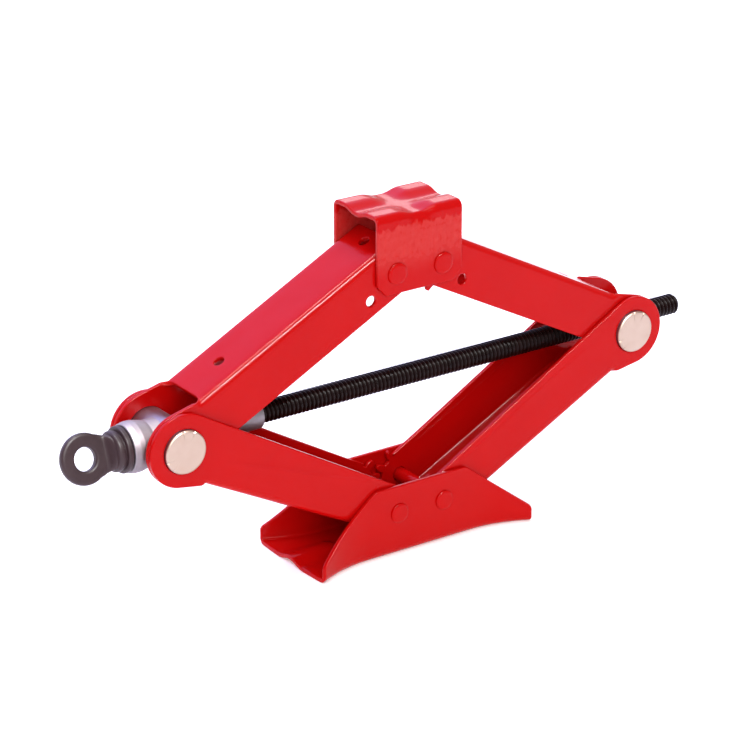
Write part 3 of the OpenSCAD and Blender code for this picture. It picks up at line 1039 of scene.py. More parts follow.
@dataclass
class Arm:
    """One pressed channel arm, drawn from its trunnion (u = 0) to its toothed pivot.

    Attributes:
        link: the linkage's places.
        side: end of the jack that the arm reaches to.
        level: upper or lower pair.
    """

    link: Linkage
    side: Side
    level: Level
    sheet: float = 3.0
    bend_r: float = 4.5
    ear_r: float = 23.5
    web_start: float = 27.0
    web_over: float = 10.0
    hole_r: float = 3.5
    trunnion_bore: float = 14.08
    pin_bore: float = 4.88
    root_r: float = 13.9
    tip_r: float = 20.1
    gear_base_r: float = 15.86
    tooth_step: float = 36.0
    tooth_half: float = 8.18
    pressure: float = 25.0
    corner_fillet: float = 3.5
    panel_depth: float = 0.28
    row_gap: float = 4.0
    bend_rows: int = 8

    def __post_init__(self) -> None:
        """Sets what differs between the upper and the lower arms."""
        upper = self.level is Level.UPPER
        self.half_w = 21.2 if upper else 24.5
        self.web_w = 17.8 if upper else 16.0
        self.open_w = 15.8 if upper else 16.0
        self.mid_r = self.bend_r - self.sheet / 2
        self.flat = self.half_w - self.bend_r
        self.bend_end = self.flat + self.mid_r * math.pi / 2
        self.bend_w = self.web_w - self.bend_r
        self.pivot = self.link.arm_len
        self.web_end = self.pivot + self.web_over

    def across(self, w: float) -> float:
        """Returns the blank's coordinate of a height on the flange."""
        return self.bend_end + self.bend_w - w

    def surface(self, u: np.ndarray, s: np.ndarray) -> np.ndarray:
        """Folds the blank: flat web, two bends and two flanges, which stay flat past the end of the web.

        Args:
            u: distance from the trunnion.
            s: developed distance from the middle of the web.

        Returns:
            Points as distance along, across and up, in the arm's own frame.
        """
        side, reach = np.sign(s), np.abs(s)
        angle = np.clip((reach - self.flat) / self.mid_r, 0, math.pi / 2)
        bent_y = np.minimum(reach, self.flat) + self.mid_r * np.sin(angle)
        bent_w = self.web_w - self.sheet / 2 - self.mid_r * (1 - np.cos(angle))
        bent_w = bent_w - np.maximum(reach - self.bend_end, 0)
        flat_w = self.bend_w + self.bend_end - reach
        share = smoothstep(self.web_start - 6, self.web_start, u)
        y = (1 - share) * (self.flat + self.mid_r) + share * bent_y
        w = (1 - share) * flat_w + share * bent_w
        if self.level is Level.LOWER:
            step = smoothstep(-0.9, 0.9, self.panel_line(u) - w)
            ends = smoothstep(24, 48, u) * (1 - smoothstep(self.pivot - 26, self.pivot - 14, u))
            y = y - self.panel_depth * step * ends * smoothstep(self.flat, self.bend_end, reach)
        return np.stack([u, side * y, w], axis=-1)

    def panel_line(self, u: np.ndarray) -> np.ndarray:
        """Returns the height of the pressed step along a lower arm's flange."""
        near, far = (3.5, -17.0) if self.side is Side.LEFT else (-16.0, -12.5)
        return near + (far - near) * u / self.pivot

    def place(self, spots: np.ndarray) -> np.ndarray:
        """Moves points from the arm's own frame to the row frame."""
        side, level = self.side.value, self.level.value
        c, s = math.cos(self.link.angle), math.sin(self.link.angle)
        along = np.array([-side * c, 0, level * s])
        up = np.array([side * s, 0, level * c])
        origin = np.array([side * self.link.trunnion_x, 0, self.link.trunnion_z])
        across = np.outer(spots[:, 1], [0, 1, 0])
        return origin + np.outer(spots[:, 0], along) + across + np.outer(spots[:, 2], up)

    def tooth_angle(self, radius: float) -> float:
        """Returns half of a tooth's angle at a radius, in degrees."""
        share = min(1.0, self.gear_base_r / radius)
        narrowing = involute(math.radians(self.pressure)) - involute(math.acos(share))
        return self.tooth_half + math.degrees(narrowing)

    def toothed_end(self) -> list[Point]:
        """Returns the flange's end from its open edge round the teeth, as distance along and height."""
        if self.side is Side.LEFT:
            centres = [2 * self.tooth_step, self.tooth_step, 0.0]
        else:
            centres = [count * self.tooth_step for count in (2.5, 1.5, 0.5, -0.5)]
        radii = [self.root_r + 0.3, self.gear_base_r, 17.0, 18.4, self.tip_r - 0.4]
        polar = [(self.root_r, 90.0)] if self.side is Side.LEFT else []
        for centre in centres:
            rise = [(r, centre + self.tooth_angle(r)) for r in radii]
            tip = [(self.tip_r, centre + 0.7 * self.tooth_angle(self.tip_r))]
            half = rise + tip + [(self.tip_r, centre)]
            other = [(r, 2 * centre - a) for r, a in reversed(rise + tip)]
            polar += half + other + [(self.root_r, other[-1][1] - 1.5)]
        wide = math.degrees(math.atan2(self.bend_w, self.web_over))
        last = polar[-1][1]
        polar += [(self.root_r, last + (-wide - last) * i / 6) for i in range(1, 6) if last > -wide + 4]
        spots = [
            (self.pivot + r * math.cos(math.radians(a)), -r * math.sin(math.radians(a))) for r, a in polar
        ]
        return [p for p in spots if p[1] > -self.open_w or p[0] > self.pivot - 1.0]

    def outline(self) -> list[Point]:
        """Returns the blank's edge as a closed loop."""
        half = Outline()
        half.to(self.web_start, 0.0)
        far = math.hypot(self.web_start, self.web_w)
        touch = math.atan2(self.web_w, self.web_start) + math.acos(self.ear_r / far)
        tangent = (self.ear_r * math.cos(touch), self.across(self.ear_r * math.sin(touch)))
        half.turn((self.web_start, self.across(self.web_w)), tangent, self.corner_fillet)
        start = math.degrees(touch)
        if self.level is Level.UPPER:
            end = 360 - math.degrees(math.asin(self.open_w / self.ear_r))
        else:
            taper = self.pivot - 15.0
            far = math.hypot(taper, self.open_w)
            end = 360 - math.degrees(math.atan2(self.open_w, taper) + math.acos(self.ear_r / far))
        half.arc((0.0, self.across(0.0)), self.ear_r, -start, -end)
        if self.level is Level.LOWER:
            half.to(self.pivot - 15.0, self.across(-self.open_w))
        half.to(self.pivot - 1.0, self.across(-self.open_w))
        for u, w in self.toothed_end():
            half.to(u, self.across(w))
        half.turn((self.web_end, self.across(self.bend_w)), (self.web_end, 0.0), 2.0)
        half.to(self.web_end, 0.0)
        return half.doubled()

    def holes(self) -> list[list[Point]]:
        """Returns the loops of the bores and the tooling holes."""
        loops = []
        for sign in (-1, 1):
            loops.append(circle_loop(0.0, sign * self.across(0.0), self.trunnion_bore))
            loops.append(circle_loop(self.pivot, sign * self.across(0.0), self.pin_bore))
            if self.level is Level.UPPER:
                loops.append(circle_loop(self.pivot - 22.5, sign * self.across(-6.0), self.hole_r))
        if self.level is Level.UPPER:
            loops += [circle_loop(54.6, 0.0, self.hole_r), circle_loop(self.pivot, 0.0, self.hole_r)]
        return loops

    def rows(self) -> list[float]:
        """Returns the lines of points across the blank, close together over the bends."""
        half = list(np.arange(self.row_gap, self.flat - 1, self.row_gap))
        bend = self.bend_end - self.flat
        half += [self.flat + bend * i / self.bend_rows for i in range(self.bend_rows + 1)]
        reach = self.across(-self.ear_r)
        if self.level is Level.LOWER:
            half += list(np.arange(self.across(4.0), self.across(-18.0), 0.8))
            half.append(reach - 3.0)
        else:
            half += list(np.arange(self.bend_end + 3, reach, self.row_gap))
        return mirrored(half)

    def build(self) -> Piece:
        """Presses the arm and returns it."""
        u = np.arange(-self.ear_r, self.pivot + self.tip_r, 2.4)
        fine = np.arange(self.web_start - 8, self.web_start + 2, 0.8)
        columns = sorted(set(np.round(np.concatenate([u, fine]), 2)))
        sheet = PressedSheet(self.sheet, self.surface, self.outline(), self.holes(), columns, self.rows())
        return sheet.build(f"pressed_{self.level.name.lower()}_arm_{self.side.name.lower()}", self.place)

    def fit(self, enamel: Material) -> None:
        """Builds, paints and hands over the arm.

        Args:
            enamel: the red finish.
        """
        side, level = self.side.name.lower(), self.level.name.lower()
        piece = dress(self.build(), enamel)
        hand_over(piece, f"{side}_{level}", f"{level}_arm_{side}")


# ---- base --------------------------------------------------------------------------------


@dataclass
class Base:
    """The pressed base: a ribbed floor between two flared flanges."""

    sheet: float = 2.8
    bend_r: float = 5.0
    half_w: float = 27.6
    half_len: float = 83.5
    end_draw: float = 1.9
    top_half: float = 35.0
    height: float = 47.4
    end_h: float = 11.0
    flare_start: float = 40.0
    flare_r: float = 87.0
    rib_h: float = 3.0
    rib_w: float = 24.0
    rib_fade: tuple[float, float] = (43.0, 53.0)
    floor_span: float = 24.0
    pin_bore: float = 4.82

    def __post_init__(self) -> None:
        """Works out the bend's developed length."""
        self.mid_r = self.bend_r - self.sheet / 2
        self.bend_end = self.floor_span + self.mid_r * math.pi / 2

    def width(self, x: np.ndarray) -> np.ndarray:
        """Returns half of the outside width at a distance from the middle."""
        past = np.maximum(np.abs(x) - self.flare_start, 0.0)
        return self.half_w + self.flare_r - np.sqrt(self.flare_r**2 - past**2)

    def surface(self, x: np.ndarray, s: np.ndarray) -> np.ndarray:
        """Folds the blank into a floor, two bends and two flared flanges.

        Args:
            x: distance along the base.
            s: distance across the blank, measured on a floor of constant width.

        Returns:
            Points in the row frame.
        """
        side, reach = np.sign(s), np.abs(s)
        floor = self.width(x) - self.bend_r
        angle = np.clip((reach - self.floor_span) / self.mid_r, 0, math.pi / 2)
        y = floor * np.minimum(reach / self.floor_span, 1.0) + self.mid_r * np.sin(angle)
        z = self.sheet / 2 + self.mid_r * (1 - np.cos(angle)) + np.maximum(reach - self.bend_end, 0)
        arch = 0.5 + 0.5 * np.cos(np.clip(2 * math.pi * y / (self.rib_w + 5.0), -math.pi, math.pi))
        z = z + self.rib_h * arch * smoothstep(*self.rib_fade, np.abs(x))
        return np.stack([x, side * y, z], axis=-1)

    def wall(self, z: float) -> float:
        """Returns the blank's coordinate of a height on the flange."""
        return self.bend_end + z - self.bend_r

    def outline(self) -> list[Point]:
        """Returns the blank's edge as a closed loop."""
        half = Outline(step=1.0)
        steps = 40
        corner = (self.half_len - self.end_draw, self.wall(self.end_h))
        for i in range(steps + 1):
            s = self.wall(self.bend_r) * i / steps
            half.to(self.half_len - self.end_draw * (i / steps) ** 2, s)
        shoulder = (self.top_half, self.wall(self.height))
        half.turn(corner, shoulder, 4.5)
        half.turn(shoulder, (-self.top_half, shoulder[1]), 9.0)
        far = [(-x, y) for x, y in reversed(half.points)]
        half.to(*far[0])
        half.points += far[1:]
        return half.doubled()

    def fit(self, link: Linkage, enamel: Material) -> None:
        """Builds, paints and hands over the base.

        Args:
            link: the linkage's places.
            enamel: the red finish.
        """
        bores = [
            circle_loop(x, sign * self.wall(link.base_pivot_z), self.pin_bore)
            for x in (-link.pivot_x, link.pivot_x)
            for sign in (-1, 1)
        ]
        columns = np.arange(-self.half_len, self.half_len, 2.2)
        bend = [self.floor_span + (self.bend_end - self.floor_span) * i / 8 for i in range(9)]
        half = list(np.arange(1.5, self.floor_span - 1, 1.5)) + bend
        half += list(np.arange(self.bend_end + 3, self.wall(self.height), 4.0))
        rows = mirrored(half)
        sheet = PressedSheet(self.sheet, self.surface, self.outline(), bores, columns, rows)
        piece = dress(sheet.build("pressed_base", lambda spots: spots), enamel)
        hand_over(piece, "base", "base_channel")


# ---- saddle ------------------------------------------------------------------------------


@dataclass
class Saddle:
    """The pressed saddle: a channel whose top carries a smooth cross of two valleys."""

    sheet: float = 2.8
    bend_r: float = 5.0
    half_w: float = 24.3
    half_len: float = 32.0
    top: float = 38.4
    skirt: float = 13.3
    corner_run: float = 6.5
    corner_rise: float = 7.0
    cross_depth: float = 2.6
    valley_along: tuple[float, float] = (1.0, 12.0)
    valley_across: tuple[float, float] = (2.0, 15.0)
    pin_bore: float = 4.82

    def __post_init__(self) -> None:
        """Works out the bend's developed length."""
        self.mid_r = self.bend_r - self.sheet / 2
        self.flat = self.half_w - self.bend_r
        self.bend_end = self.flat + self.mid_r * math.pi / 2

    def surface(self, x: np.ndarray, s: np.ndarray) -> np.ndarray:
        """Folds the blank over and presses the cross into it.

        Args:
            x: distance along the saddle.
            s: developed distance from the middle of the top.

        Returns:
            Points about the saddle's pivots.
        """
        side, reach = np.sign(s), np.abs(s)
        angle = np.clip((reach - self.flat) / self.mid_r, 0, math.pi / 2)
        y = np.minimum(reach, self.flat) + self.mid_r * np.sin(angle)
        past = np.maximum(reach - self.bend_end, 0)
        z = self.top - self.sheet / 2 - self.mid_r * (1 - np.cos(angle)) - past
        along = 1 - smoothstep(*self.valley_along, reach)
        across = 1 - smoothstep(*self.valley_across, np.abs(x))
        across = across * (1 - smoothstep(self.flat, self.bend_end + 7, reach))
        depth = self.cross_depth * (1 - (1 - along) * (1 - across))
        y = y - depth * np.sin(angle)
        z = z - depth * np.cos(angle)
        return np.stack([x, side * y, z], axis=-1)

    def wall(self, z: float) -> float:
        """Returns the blank's coordinate of a height on the side wall."""
        return self.bend_end + self.top - self.bend_r - z

    def outline(self) -> list[Point]:
        """Returns the blank's edge as a closed loop."""
        half = Outline(step=0.8)
        half.to(self.half_len, 0.0)
        side_end = (self.half_len, self.wall(self.corner_rise - self.skirt))
        foot = (self.half_len - self.corner_run, self.wall(-self.skirt))
        half.turn(side_end, foot, 3.0)
        half.turn(foot, (-foot[0], foot[1]), 3.0)
        far = [(-x, y) for x, y in reversed(half.points)]
        half.to(*far[0])
        half.points += far[1:]
        return half.doubled()

    def fit(self, link: Linkage, enamel: Material) -> None:
        """Builds, paints and hands over the saddle.

        Args:
            link: the linkage's places.
            enamel: the red finish with a painted reflection, dry spray and runs on the side walls.
        """
        bores = [
            circle_loop(x, sign * self.wall(0.0), self.pin_bore)
            for x in (-link.pivot_x, link.pivot_x)
            for sign in (-1, 1)
        ]
        columns = np.arange(-self.half_len, self.half_len, 1.3)
        bend = [self.flat + (self.bend_end - self.flat) * i / 8 for i in range(9)]
        half = list(np.arange(1.2, self.flat - 0.5, 1.2)) + bend
        half += list(np.arange(self.bend_end + 1, self.wall(-self.skirt), 1.6))
        rows = mirrored(half)
        sheet = PressedSheet(self.sheet, self.surface, self.outline(), bores, columns, rows)
        lift = np.array([0.0, 0.0, link.saddle_pivot_z])
        piece = dress(sheet.build("pressed_saddle", lambda spots: spots + lift), enamel)
        hand_over(piece, "saddle", "saddle_channel")


# ---- pivot pins --------------------------------------------------------------------------


@dataclass
class PivotPin:
    """A pin riveted over outside both walls."""

    body: str
    node: str
    wall_half_w: float
    head_r: float
    shank_r: float = 4.75
    head_h: float = 1.8

    def profile(self) -> list[Point]:
        """Returns half of the pin's section, from its middle to its end."""
        wall, head, tall = self.wall_half_w, self.head_r, self.head_h
        sunk, skirt, crown_share = 0.3, 0.75, 0.62
        rim = [(wall - sunk, self.shank_r), (wall - sunk, head), (wall + skirt, head)]
        turns = [math.pi / 2 * i / 12 for i in range(1, 13)]
        flat_r = head * crown_share
        rise = tall - skirt - 0.1
        dome = [(wall + skirt + rise * math.sin(a), flat_r + (head - flat_r) * math.cos(a)) for a in turns]
        crown = [(wall + tall - 0.1 * k / 3, flat_r * k / 3) for k in (2, 1, 0)]
        return rim + dome + crown

    def fit(self, enamel: Material) -> None:
        """Builds, paints and hands over the pin.

        Args:
            enamel: the red finish.
        """
        half = self.profile()
        section = [(-y, r) for y, r in reversed(half)] + half
        piece = turned_piece(f"riveted_{self.node}", section, centre_mm(self.node), Axis.ACROSS, segments=64)
        hand_over(dress(piece, enamel), self.body, self.node)


# ---- trunnions ---------------------------------------------------------------------------


@dataclass
class Trunnion:
    """A bar across the jack, bored for the screw, with three staking marks round each end."""

    body: str
    node: str
    radius: float = 14.0
    half_len: float = 27.1
    chamfer: float = 0.8
    bore_r: float = 7.08
    mark_depth: float = 1.5
    mark_half_deg: float = 2.0
    marks_deg: tuple[float, ...] = (62.0, 97.0, 197.0, 228.0)

    def section(self) -> list[Point]:
        """Returns the bar's section from end to end."""
        end, rim, land = self.half_len, self.radius, self.radius - self.chamfer
        half = [(0.0, rim), (end - self.chamfer - 0.25, rim), (end - self.chamfer + 0.1, rim - 0.08)]
        half += [(end - 0.12, land + 0.16), (end, land - 0.1), (end, land - 1.4)]
        half += [(end, land * 0.5), (end, 0.0)]
        return [(-y, r) for y, r in reversed(half)] + half[1:]

    def staked(self, piece: Piece, centre: Vector) -> None:
        """Presses the staking marks into the rim of both ends.

        Args:
            piece: the turned bar.
            centre: middle of the bar, in millimetres.
        """
        for vertex in piece.data.vertices:
            spot = vertex.co / MM - centre
            radius = math.hypot(spot.x, spot.z)
            if abs(spot.y) < self.half_len - 0.2 or radius < self.radius - self.chamfer - 0.5:
                continue
            bearing = math.degrees(math.atan2(spot.z, spot.x)) % 360
            near = min(abs((bearing - mark + 180) % 360 - 180) for mark in self.marks_deg)
            if near < self.mark_half_deg:
                spot.y -= math.copysign(self.mark_depth, spot.y)
                vertex.co = (spot + centre) * MM

    def fit(self) -> None:
        """Builds, finishes and hands over the trunnion."""
        centre = centre_mm(self.node)
        centre.y = 0.0
        bar = turned_piece(f"turned_{self.node}", self.section(), centre, Axis.ACROSS, segments=180)
        self.staked(bar, centre)
        length = 2 * self.radius + 4
        reach = length / 2
        drill_section = [(-reach, 0.0), (-reach, self.bore_r), (reach, self.bore_r), (reach, 0.0)]
        drill = turned_piece("drill", drill_section, centre, Axis.ALONG, segments=48)
        cut = bar.modifiers.new("bore", "BOOLEAN")
        cut.object, cut.operation, cut.solver = drill, "DIFFERENCE", "EXACT"
        bake_modifiers(bar)
        bpy.data.objects.remove(drill)
        plated = self.half_len - self.chamfer - 0.3
        steel = TurnedSteel(f"turned_steel_{self.body}", tuple(centre), Axis.ACROSS, plated_half_mm=plated)
        hand_over(dress(bar, steel.material()), self.body, self.node)


# ---- thrust bearing ----------------------------------------------------------------------


@dataclass
class ThrustBearing:
    """Cup, races, cage and balls that take the screw's thrust; distances run outwards from the trunnion."""

    link: Linkage
    cup_r: float = 16.0
    end_r: float = 14.7
    cavity_r: float = 12.6
    cup_from: float = 5.0
    cup_floor: float = 18.0
    cup_rim: float = 28.0
    race_in_r: float = 7.3
    race_out_r: float = 12.5
    race_t: float = 2.0
    groove_depth: float = 0.45
    turning_at: float = 24.1
    ball_at: float = 22.05
    ball_r: float = 1.9
    ball_circle_r: float = 9.8
    balls: int = 12

    @property
    def centre(self) -> Vector:
        """Centre of the thrust trunnion."""
        return Vector((-self.link.trunnion_x, 0.0, self.link.trunnion_z))

    def outwards(self, profile: Sequence[Point]) -> list[Point]:
        """Turns distances outwards from the trunnion into distances along +X."""
        return [(-at, r) for at, r in profile]

    def cup(self) -> Piece:
        """Builds the cup, swelling from the trunnion and closing in slightly at its rim."""
        outside = rounded([
            (self.cup_from, self.end_r - 0.6, 0.0),
            (12.5, self.end_r - 0.6, 1.0),
            (14.5, self.end_r, 1.5),
            (self.cup_floor + 2.5, self.cup_r, 2.5),
            (self.cup_rim - 4.0, self.cup_r, 2.0),
            (self.cup_rim, self.end_r + 0.5, 0.8),
            (self.cup_rim, self.cavity_r, 0.5),
            (self.cup_floor, self.cavity_r, 0.0),
            (self.cup_floor, self.race_in_r + 0.2, 0.0),
            (self.cup_from, self.race_in_r + 0.2, 0.0),
        ])
        return turned_piece("bearing_housing", self.outwards(outside), self.centre, Axis.ALONG, closed=True)

    def race(self, name: str, at: float, inner: int) -> Piece:
        """Builds a flat race with a shallow ball groove.

        Args:
            name: name of the piece.
            at: distance of its inboard face.
            inner: +1 where the groove faces outwards and -1 where it faces inwards.

        Returns:
            The race.
        """
        grooved, plain = (at + self.race_t, at) if inner > 0 else (at, at + self.race_t)
        half = self.ball_r * 0.75
        groove = []
        for i in range(9):
            turn = math.pi * i / 8
            radius = self.ball_circle_r - half * math.cos(turn)
            groove.append((grooved - inner * self.groove_depth * math.sin(turn), radius))
        section = [(plain, self.race_in_r), (grooved, self.race_in_r), *groove]
        rim_r = self.race_out_r
        section += [(grooved, rim_r - 0.2), (grooved - 0.2 * inner, rim_r), (plain, rim_r)]
        return turned_piece(name, self.outwards(section), self.centre, Axis.ALONG, closed=True)

    def ball_tree(self) -> Tree:
        """Returns the geometry nodes that set balls round a circle."""
        tree = bpy.data.node_groups.new("ball_ring", "GeometryNodeTree")
        for name, kind in (
            ("Balls", "NodeSocketInt"),
            ("Ball Radius", "NodeSocketFloat"),
            ("Circle Radius", "NodeSocketFloat"),
            ("Centre", "NodeSocketVector"),
            ("Finish", "NodeSocketMaterial"),
        ):
            tree.interface.new_socket(name, in_out="INPUT", socket_type=kind)
        tree.interface.new_socket("Geometry", in_out="OUTPUT", socket_type="NodeSocketGeometry")
        sizes = add_node(tree, "NodeGroupInput").outputs
        ring = add_node(
            tree, "GeometryNodeMeshCircle", {"Vertices": sizes["Balls"], "Radius": sizes["Circle Radius"]}
        )
        ball = add_node(
            tree,
            "GeometryNodeMeshUVSphere",
            {"Segments": 20, "Rings": 12, "Radius": sizes["Ball Radius"]},
        )
        smooth = add_node(tree, "GeometryNodeSetShadeSmooth", {"Geometry": ball.outputs["Mesh"]})
        set_out = add_node(
            tree,
            "GeometryNodeInstanceOnPoints",
            {"Points": ring.outputs["Mesh"], "Instance": smooth.outputs["Geometry"]},
        )
        real = add_node(tree, "GeometryNodeRealizeInstances", {"Geometry": set_out.outputs["Instances"]})
        stood = add_node(
            tree,
            "GeometryNodeTransform",
            {
                "Geometry": real.outputs["Geometry"],
                "Translation": sizes["Centre"],
                "Rotation": (0.0, math.pi / 2, 0.0),
            },
        )
        done = add_node(
            tree,
            "GeometryNodeSetMaterial",
            {"Geometry": stood.outputs["Geometry"], "Material": sizes["Finish"]},
        )
        add_node(tree, "NodeGroupOutput", {"Geometry": done.outputs["Geometry"]})
        return tree

    def fit(self, zinc: Material, brass: Material) -> None:
        """Builds, finishes and hands over the bearing.

        Args:
            zinc: finish of the cup and the races.
            brass: finish of the cage.
        """
        hand_over(dress(self.cup(), zinc), "thrust_block", "bearing_cup")
        still = self.race("grooved_fixed_race", self.cup_floor, 1)
        hand_over(dress(still, zinc), "thrust_block", "fixed_race")
        turning = self.race("grooved_turning_race", self.turning_at, -1)
        hand_over(dress(turning, zinc), "screw", "turning_race")
        place = tuple(self.centre)
        steel = TurnedSteel("polished_ball_steel", place, Axis.ALONG, "e4e1e2", "cfcacb", roughness=0.12)
        centre = (self.centre - Vector((self.ball_at, 0.0, 0.0))) * MM
        finish = steel.material()
        sizes = {
            "Balls": self.balls,
            "Ball Radius": self.ball_r * MM,
            "Circle Radius": self.ball_circle_r * MM,
            "Centre": tuple(centre),
            "Finish": finish,
        }
        balls = grown_piece("ground_bearing_balls", self.ball_tree(), sizes)
        hand_over(dress(balls, finish), "ball_ring", "bearing_balls")
        dress(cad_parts["bearing_cage"], brass)


def grown_piece(name: str, tree: Tree, sizes: dict[str, object]) -> Piece:
    """Runs a geometry node tree and returns its result as a plain mesh.

    Args:
        name: name of the piece.
        tree: the tree.
        sizes: a value for each of the tree's inputs, by name.

    Returns:
        The new object, without the modifier.
    """
    piece = bpy.data.objects.new(name, bpy.data.meshes.new(name))
    bpy.context.scene.collection.objects.link(piece)
    grow = piece.modifiers.new("grow", "NODES")
    grow.node_group = tree
    sockets = {s.name: s.identifier for s in tree.interface.items_tree if s.in_out == "INPUT"}
    for key, value in sizes.items():
        grow[sockets[key]] = value
    piece.update_tag()
    bpy.context.view_layer.update()
    return bake_modifiers(piece)


# ---- screw -------------------------------------------------------------------------------


@dataclass
class Screw:
    """The lead screw with its rolled thread, the stop sleeve on it and the pin that holds the sleeve."""

    link: Linkage
    crest_r: float = 6.98
    root_r: float = 5.35
    pitch: float = 3.0
    shank: float = 36.0
    tail: float = 55.1
    plain_end: float = 62.0
    sleeve_r: float = 9.5
    sleeve_from: float = 13.2
    sleeve_to: float = 67.0
    steps_per_pitch: int = 10
    segments: int = 40

    @property
    def start(self) -> float:
        """Place along X of the screw's end in the drive eye."""
        return -self.link.trunnion_x - self.shank

    @property
    def length(self) -> float:
        """Length of the screw."""
        return 2 * self.link.trunnion_x + self.shank + self.tail

    def thread_tree(self) -> Tree:
        """Returns the geometry nodes of a threaded bar.

        The grid is sheared by one pitch for each turn, so its lines follow the thread.
        """
        tree = bpy.data.node_groups.new("rolled_thread", "GeometryNodeTree")
        for name, kind in (
            ("Start", "NodeSocketVector"),
            ("Length", "NodeSocketFloat"),
            ("Pitch", "NodeSocketFloat"),
            ("Crest Radius", "NodeSocketFloat"),
            ("Root Radius", "NodeSocketFloat"),
            ("Plain Length", "NodeSocketFloat"),
            ("Steps", "NodeSocketInt"),
            ("Steps per Pitch", "NodeSocketFloat"),
            ("Segments", "NodeSocketInt"),
            ("Finish", "NodeSocketMaterial"),
        ):
            tree.interface.new_socket(name, in_out="INPUT", socket_type=kind)
        tree.interface.new_socket("Geometry", in_out="OUTPUT", socket_type="NodeSocketGeometry")
        size = add_node(tree, "NodeGroupInput").outputs
        grid = add_node(
            tree,
            "GeometryNodeMeshGrid",
            {"Size X": 1.0, "Size Y": 1.0, "Vertices X": size["Steps"], "Vertices Y": size["Segments"]},
        )
        spot = add_node(tree, "ShaderNodeSeparateXYZ", {0: grid.outputs["UV Map"]}).outputs
        known = {name: size[name] for name in ("Steps", "Length", "Pitch", "Root Radius", "Plain Length")}
        known |= {"per pitch": size["Steps per Pitch"], "along share": spot["X"], "turn share": spot["Y"]}
        turning = (
            ("gaps", "SUBTRACT", "Steps", 1.0),
            ("step", "MULTIPLY", "along share", "gaps"),
            ("whole step", "ROUND", "step"),
            ("pitches", "DIVIDE", "whole step", "per pitch"),
            ("sheared", "ADD", "pitches", "turn share"),
            ("turns", "SUBTRACT", "sheared", 1.0),
            ("reach", "MULTIPLY", "turns", "Pitch"),
            ("past start", "MAXIMUM", "reach", 0.0),
            ("along", "MINIMUM", "past start", "Length"),
            ("phase", "FRACT", "pitches"),
            ("double", "MULTIPLY", "phase", 2.0),
            ("centred", "SUBTRACT", "double", 1.0),
            ("wave", "ABSOLUTE", "centred"),
            ("plain", "LESS_THAN", "along", "Plain Length"),
        )
        add_sums(tree, known, turning)
        threaded = add_node(
            tree,
            "ShaderNodeMapRange",
            {
                "Value": known["wave"],
                "From Min": 0.3,
                "From Max": 0.72,
                "To Min": size["Crest Radius"],
                "To Max": size["Root Radius"],
            },
            interpolation_type="SMOOTHSTEP",
        ).outputs["Result"]
        body = {0: known["plain"], 2: threaded, 3: size["Crest Radius"]}
        known["body"] = add_node(tree, "ShaderNodeMix", body).outputs[0]
        closing = (
            ("left", "SUBTRACT", "Length", "along"),
            ("end gap", "MINIMUM", "along", "left"),
            ("chamfer", "ADD", "end gap", "Root Radius"),
            ("radius", "MINIMUM", "body", "chamfer"),
            ("past first", "GREATER_THAN", "step", 0.5),
            ("last step", "SUBTRACT", "gaps", 0.5),
            ("before last", "LESS_THAN", "step", "last step"),
            ("open", "MULTIPLY", "past first", "before last"),
            ("open radius", "MULTIPLY", "radius", "open"),
            ("angle", "MULTIPLY", "turn share", 2 * math.pi),
            ("cosine", "COSINE", "angle"),
            ("sine", "SINE", "angle"),
            ("y", "MULTIPLY", "open radius", "cosine"),
            ("z", "MULTIPLY", "open radius", "sine"),
        )
        add_sums(tree, known, closing)
        spots = {"X": known["along"], "Y": known["y"], "Z": known["z"]}
        place = add_node(tree, "ShaderNodeCombineXYZ", spots).outputs[0]
        there = add_node(
            tree, "ShaderNodeVectorMath", {0: place, 1: size["Start"]}, operation="ADD"
        ).outputs[0]
        shaped = add_node(
            tree, "GeometryNodeSetPosition", {"Geometry": grid.outputs["Mesh"], "Position": there}
        )
        sealed = add_node(
            tree, "GeometryNodeMergeByDistance", {"Geometry": shaped.outputs["Geometry"], "Distance": 1e-6}
        )
        smooth = add_node(tree, "GeometryNodeSetShadeSmooth", {"Geometry": sealed.outputs["Geometry"]})
        real = add_node(tree, "GeometryNodeRealizeInstances", {"Geometry": smooth.outputs["Geometry"]})
        done = add_node(
            tree,
            "GeometryNodeSetMaterial",
            {"Geometry": real.outputs["Geometry"], "Material": size["Finish"]},
        )
        add_node(tree, "NodeGroupOutput", {"Geometry": done.outputs["Geometry"]})
        return tree

    def fit(self, oxide: Material, zinc: Material) -> None:
        """Builds, finishes and hands over the screw and its sleeve.

        Args:
            oxide: finish of the screw.
            zinc: finish of the sleeve and its pin.
        """
        sizes = {
            "Start": (self.start * MM, 0.0, self.link.trunnion_z * MM),
            "Length": self.length * MM,
            "Pitch": self.pitch * MM,
            "Crest Radius": self.crest_r * MM,
            "Root Radius": self.root_r * MM,
            "Plain Length": (self.shank + self.plain_end) * MM,
            "Steps": round((self.length / self.pitch + 1) * self.steps_per_pitch) + 2,
            "Steps per Pitch": float(self.steps_per_pitch),
            "Segments": self.segments + 1,
            "Finish": oxide,
        }
        bar = grown_piece("threaded_lead_screw", self.thread_tree(), sizes)
        hand_over(dress(bar, oxide), "screw", "lead_screw")
        tube = rounded([
            (self.sleeve_from, self.crest_r + 0.04, 0.0),
            (self.sleeve_from, self.sleeve_r, 0.4),
            (self.sleeve_to, self.sleeve_r, 0.6),
            (self.sleeve_to, self.crest_r + 0.04, 0.3),
            (self.sleeve_from + 1, self.crest_r + 0.04, 0.0),
        ])
        centre = Vector((-self.link.trunnion_x, 0.0, self.link.trunnion_z))
        sleeve = turned_piece("turned_stop_sleeve", tube, centre, Axis.ALONG, closed=True)
        hand_over(dress(sleeve, zinc), "screw", "stop_sleeve")
        dress(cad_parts["sleeve_pin"], zinc)


# ---- drive eye ---------------------------------------------------------------------------


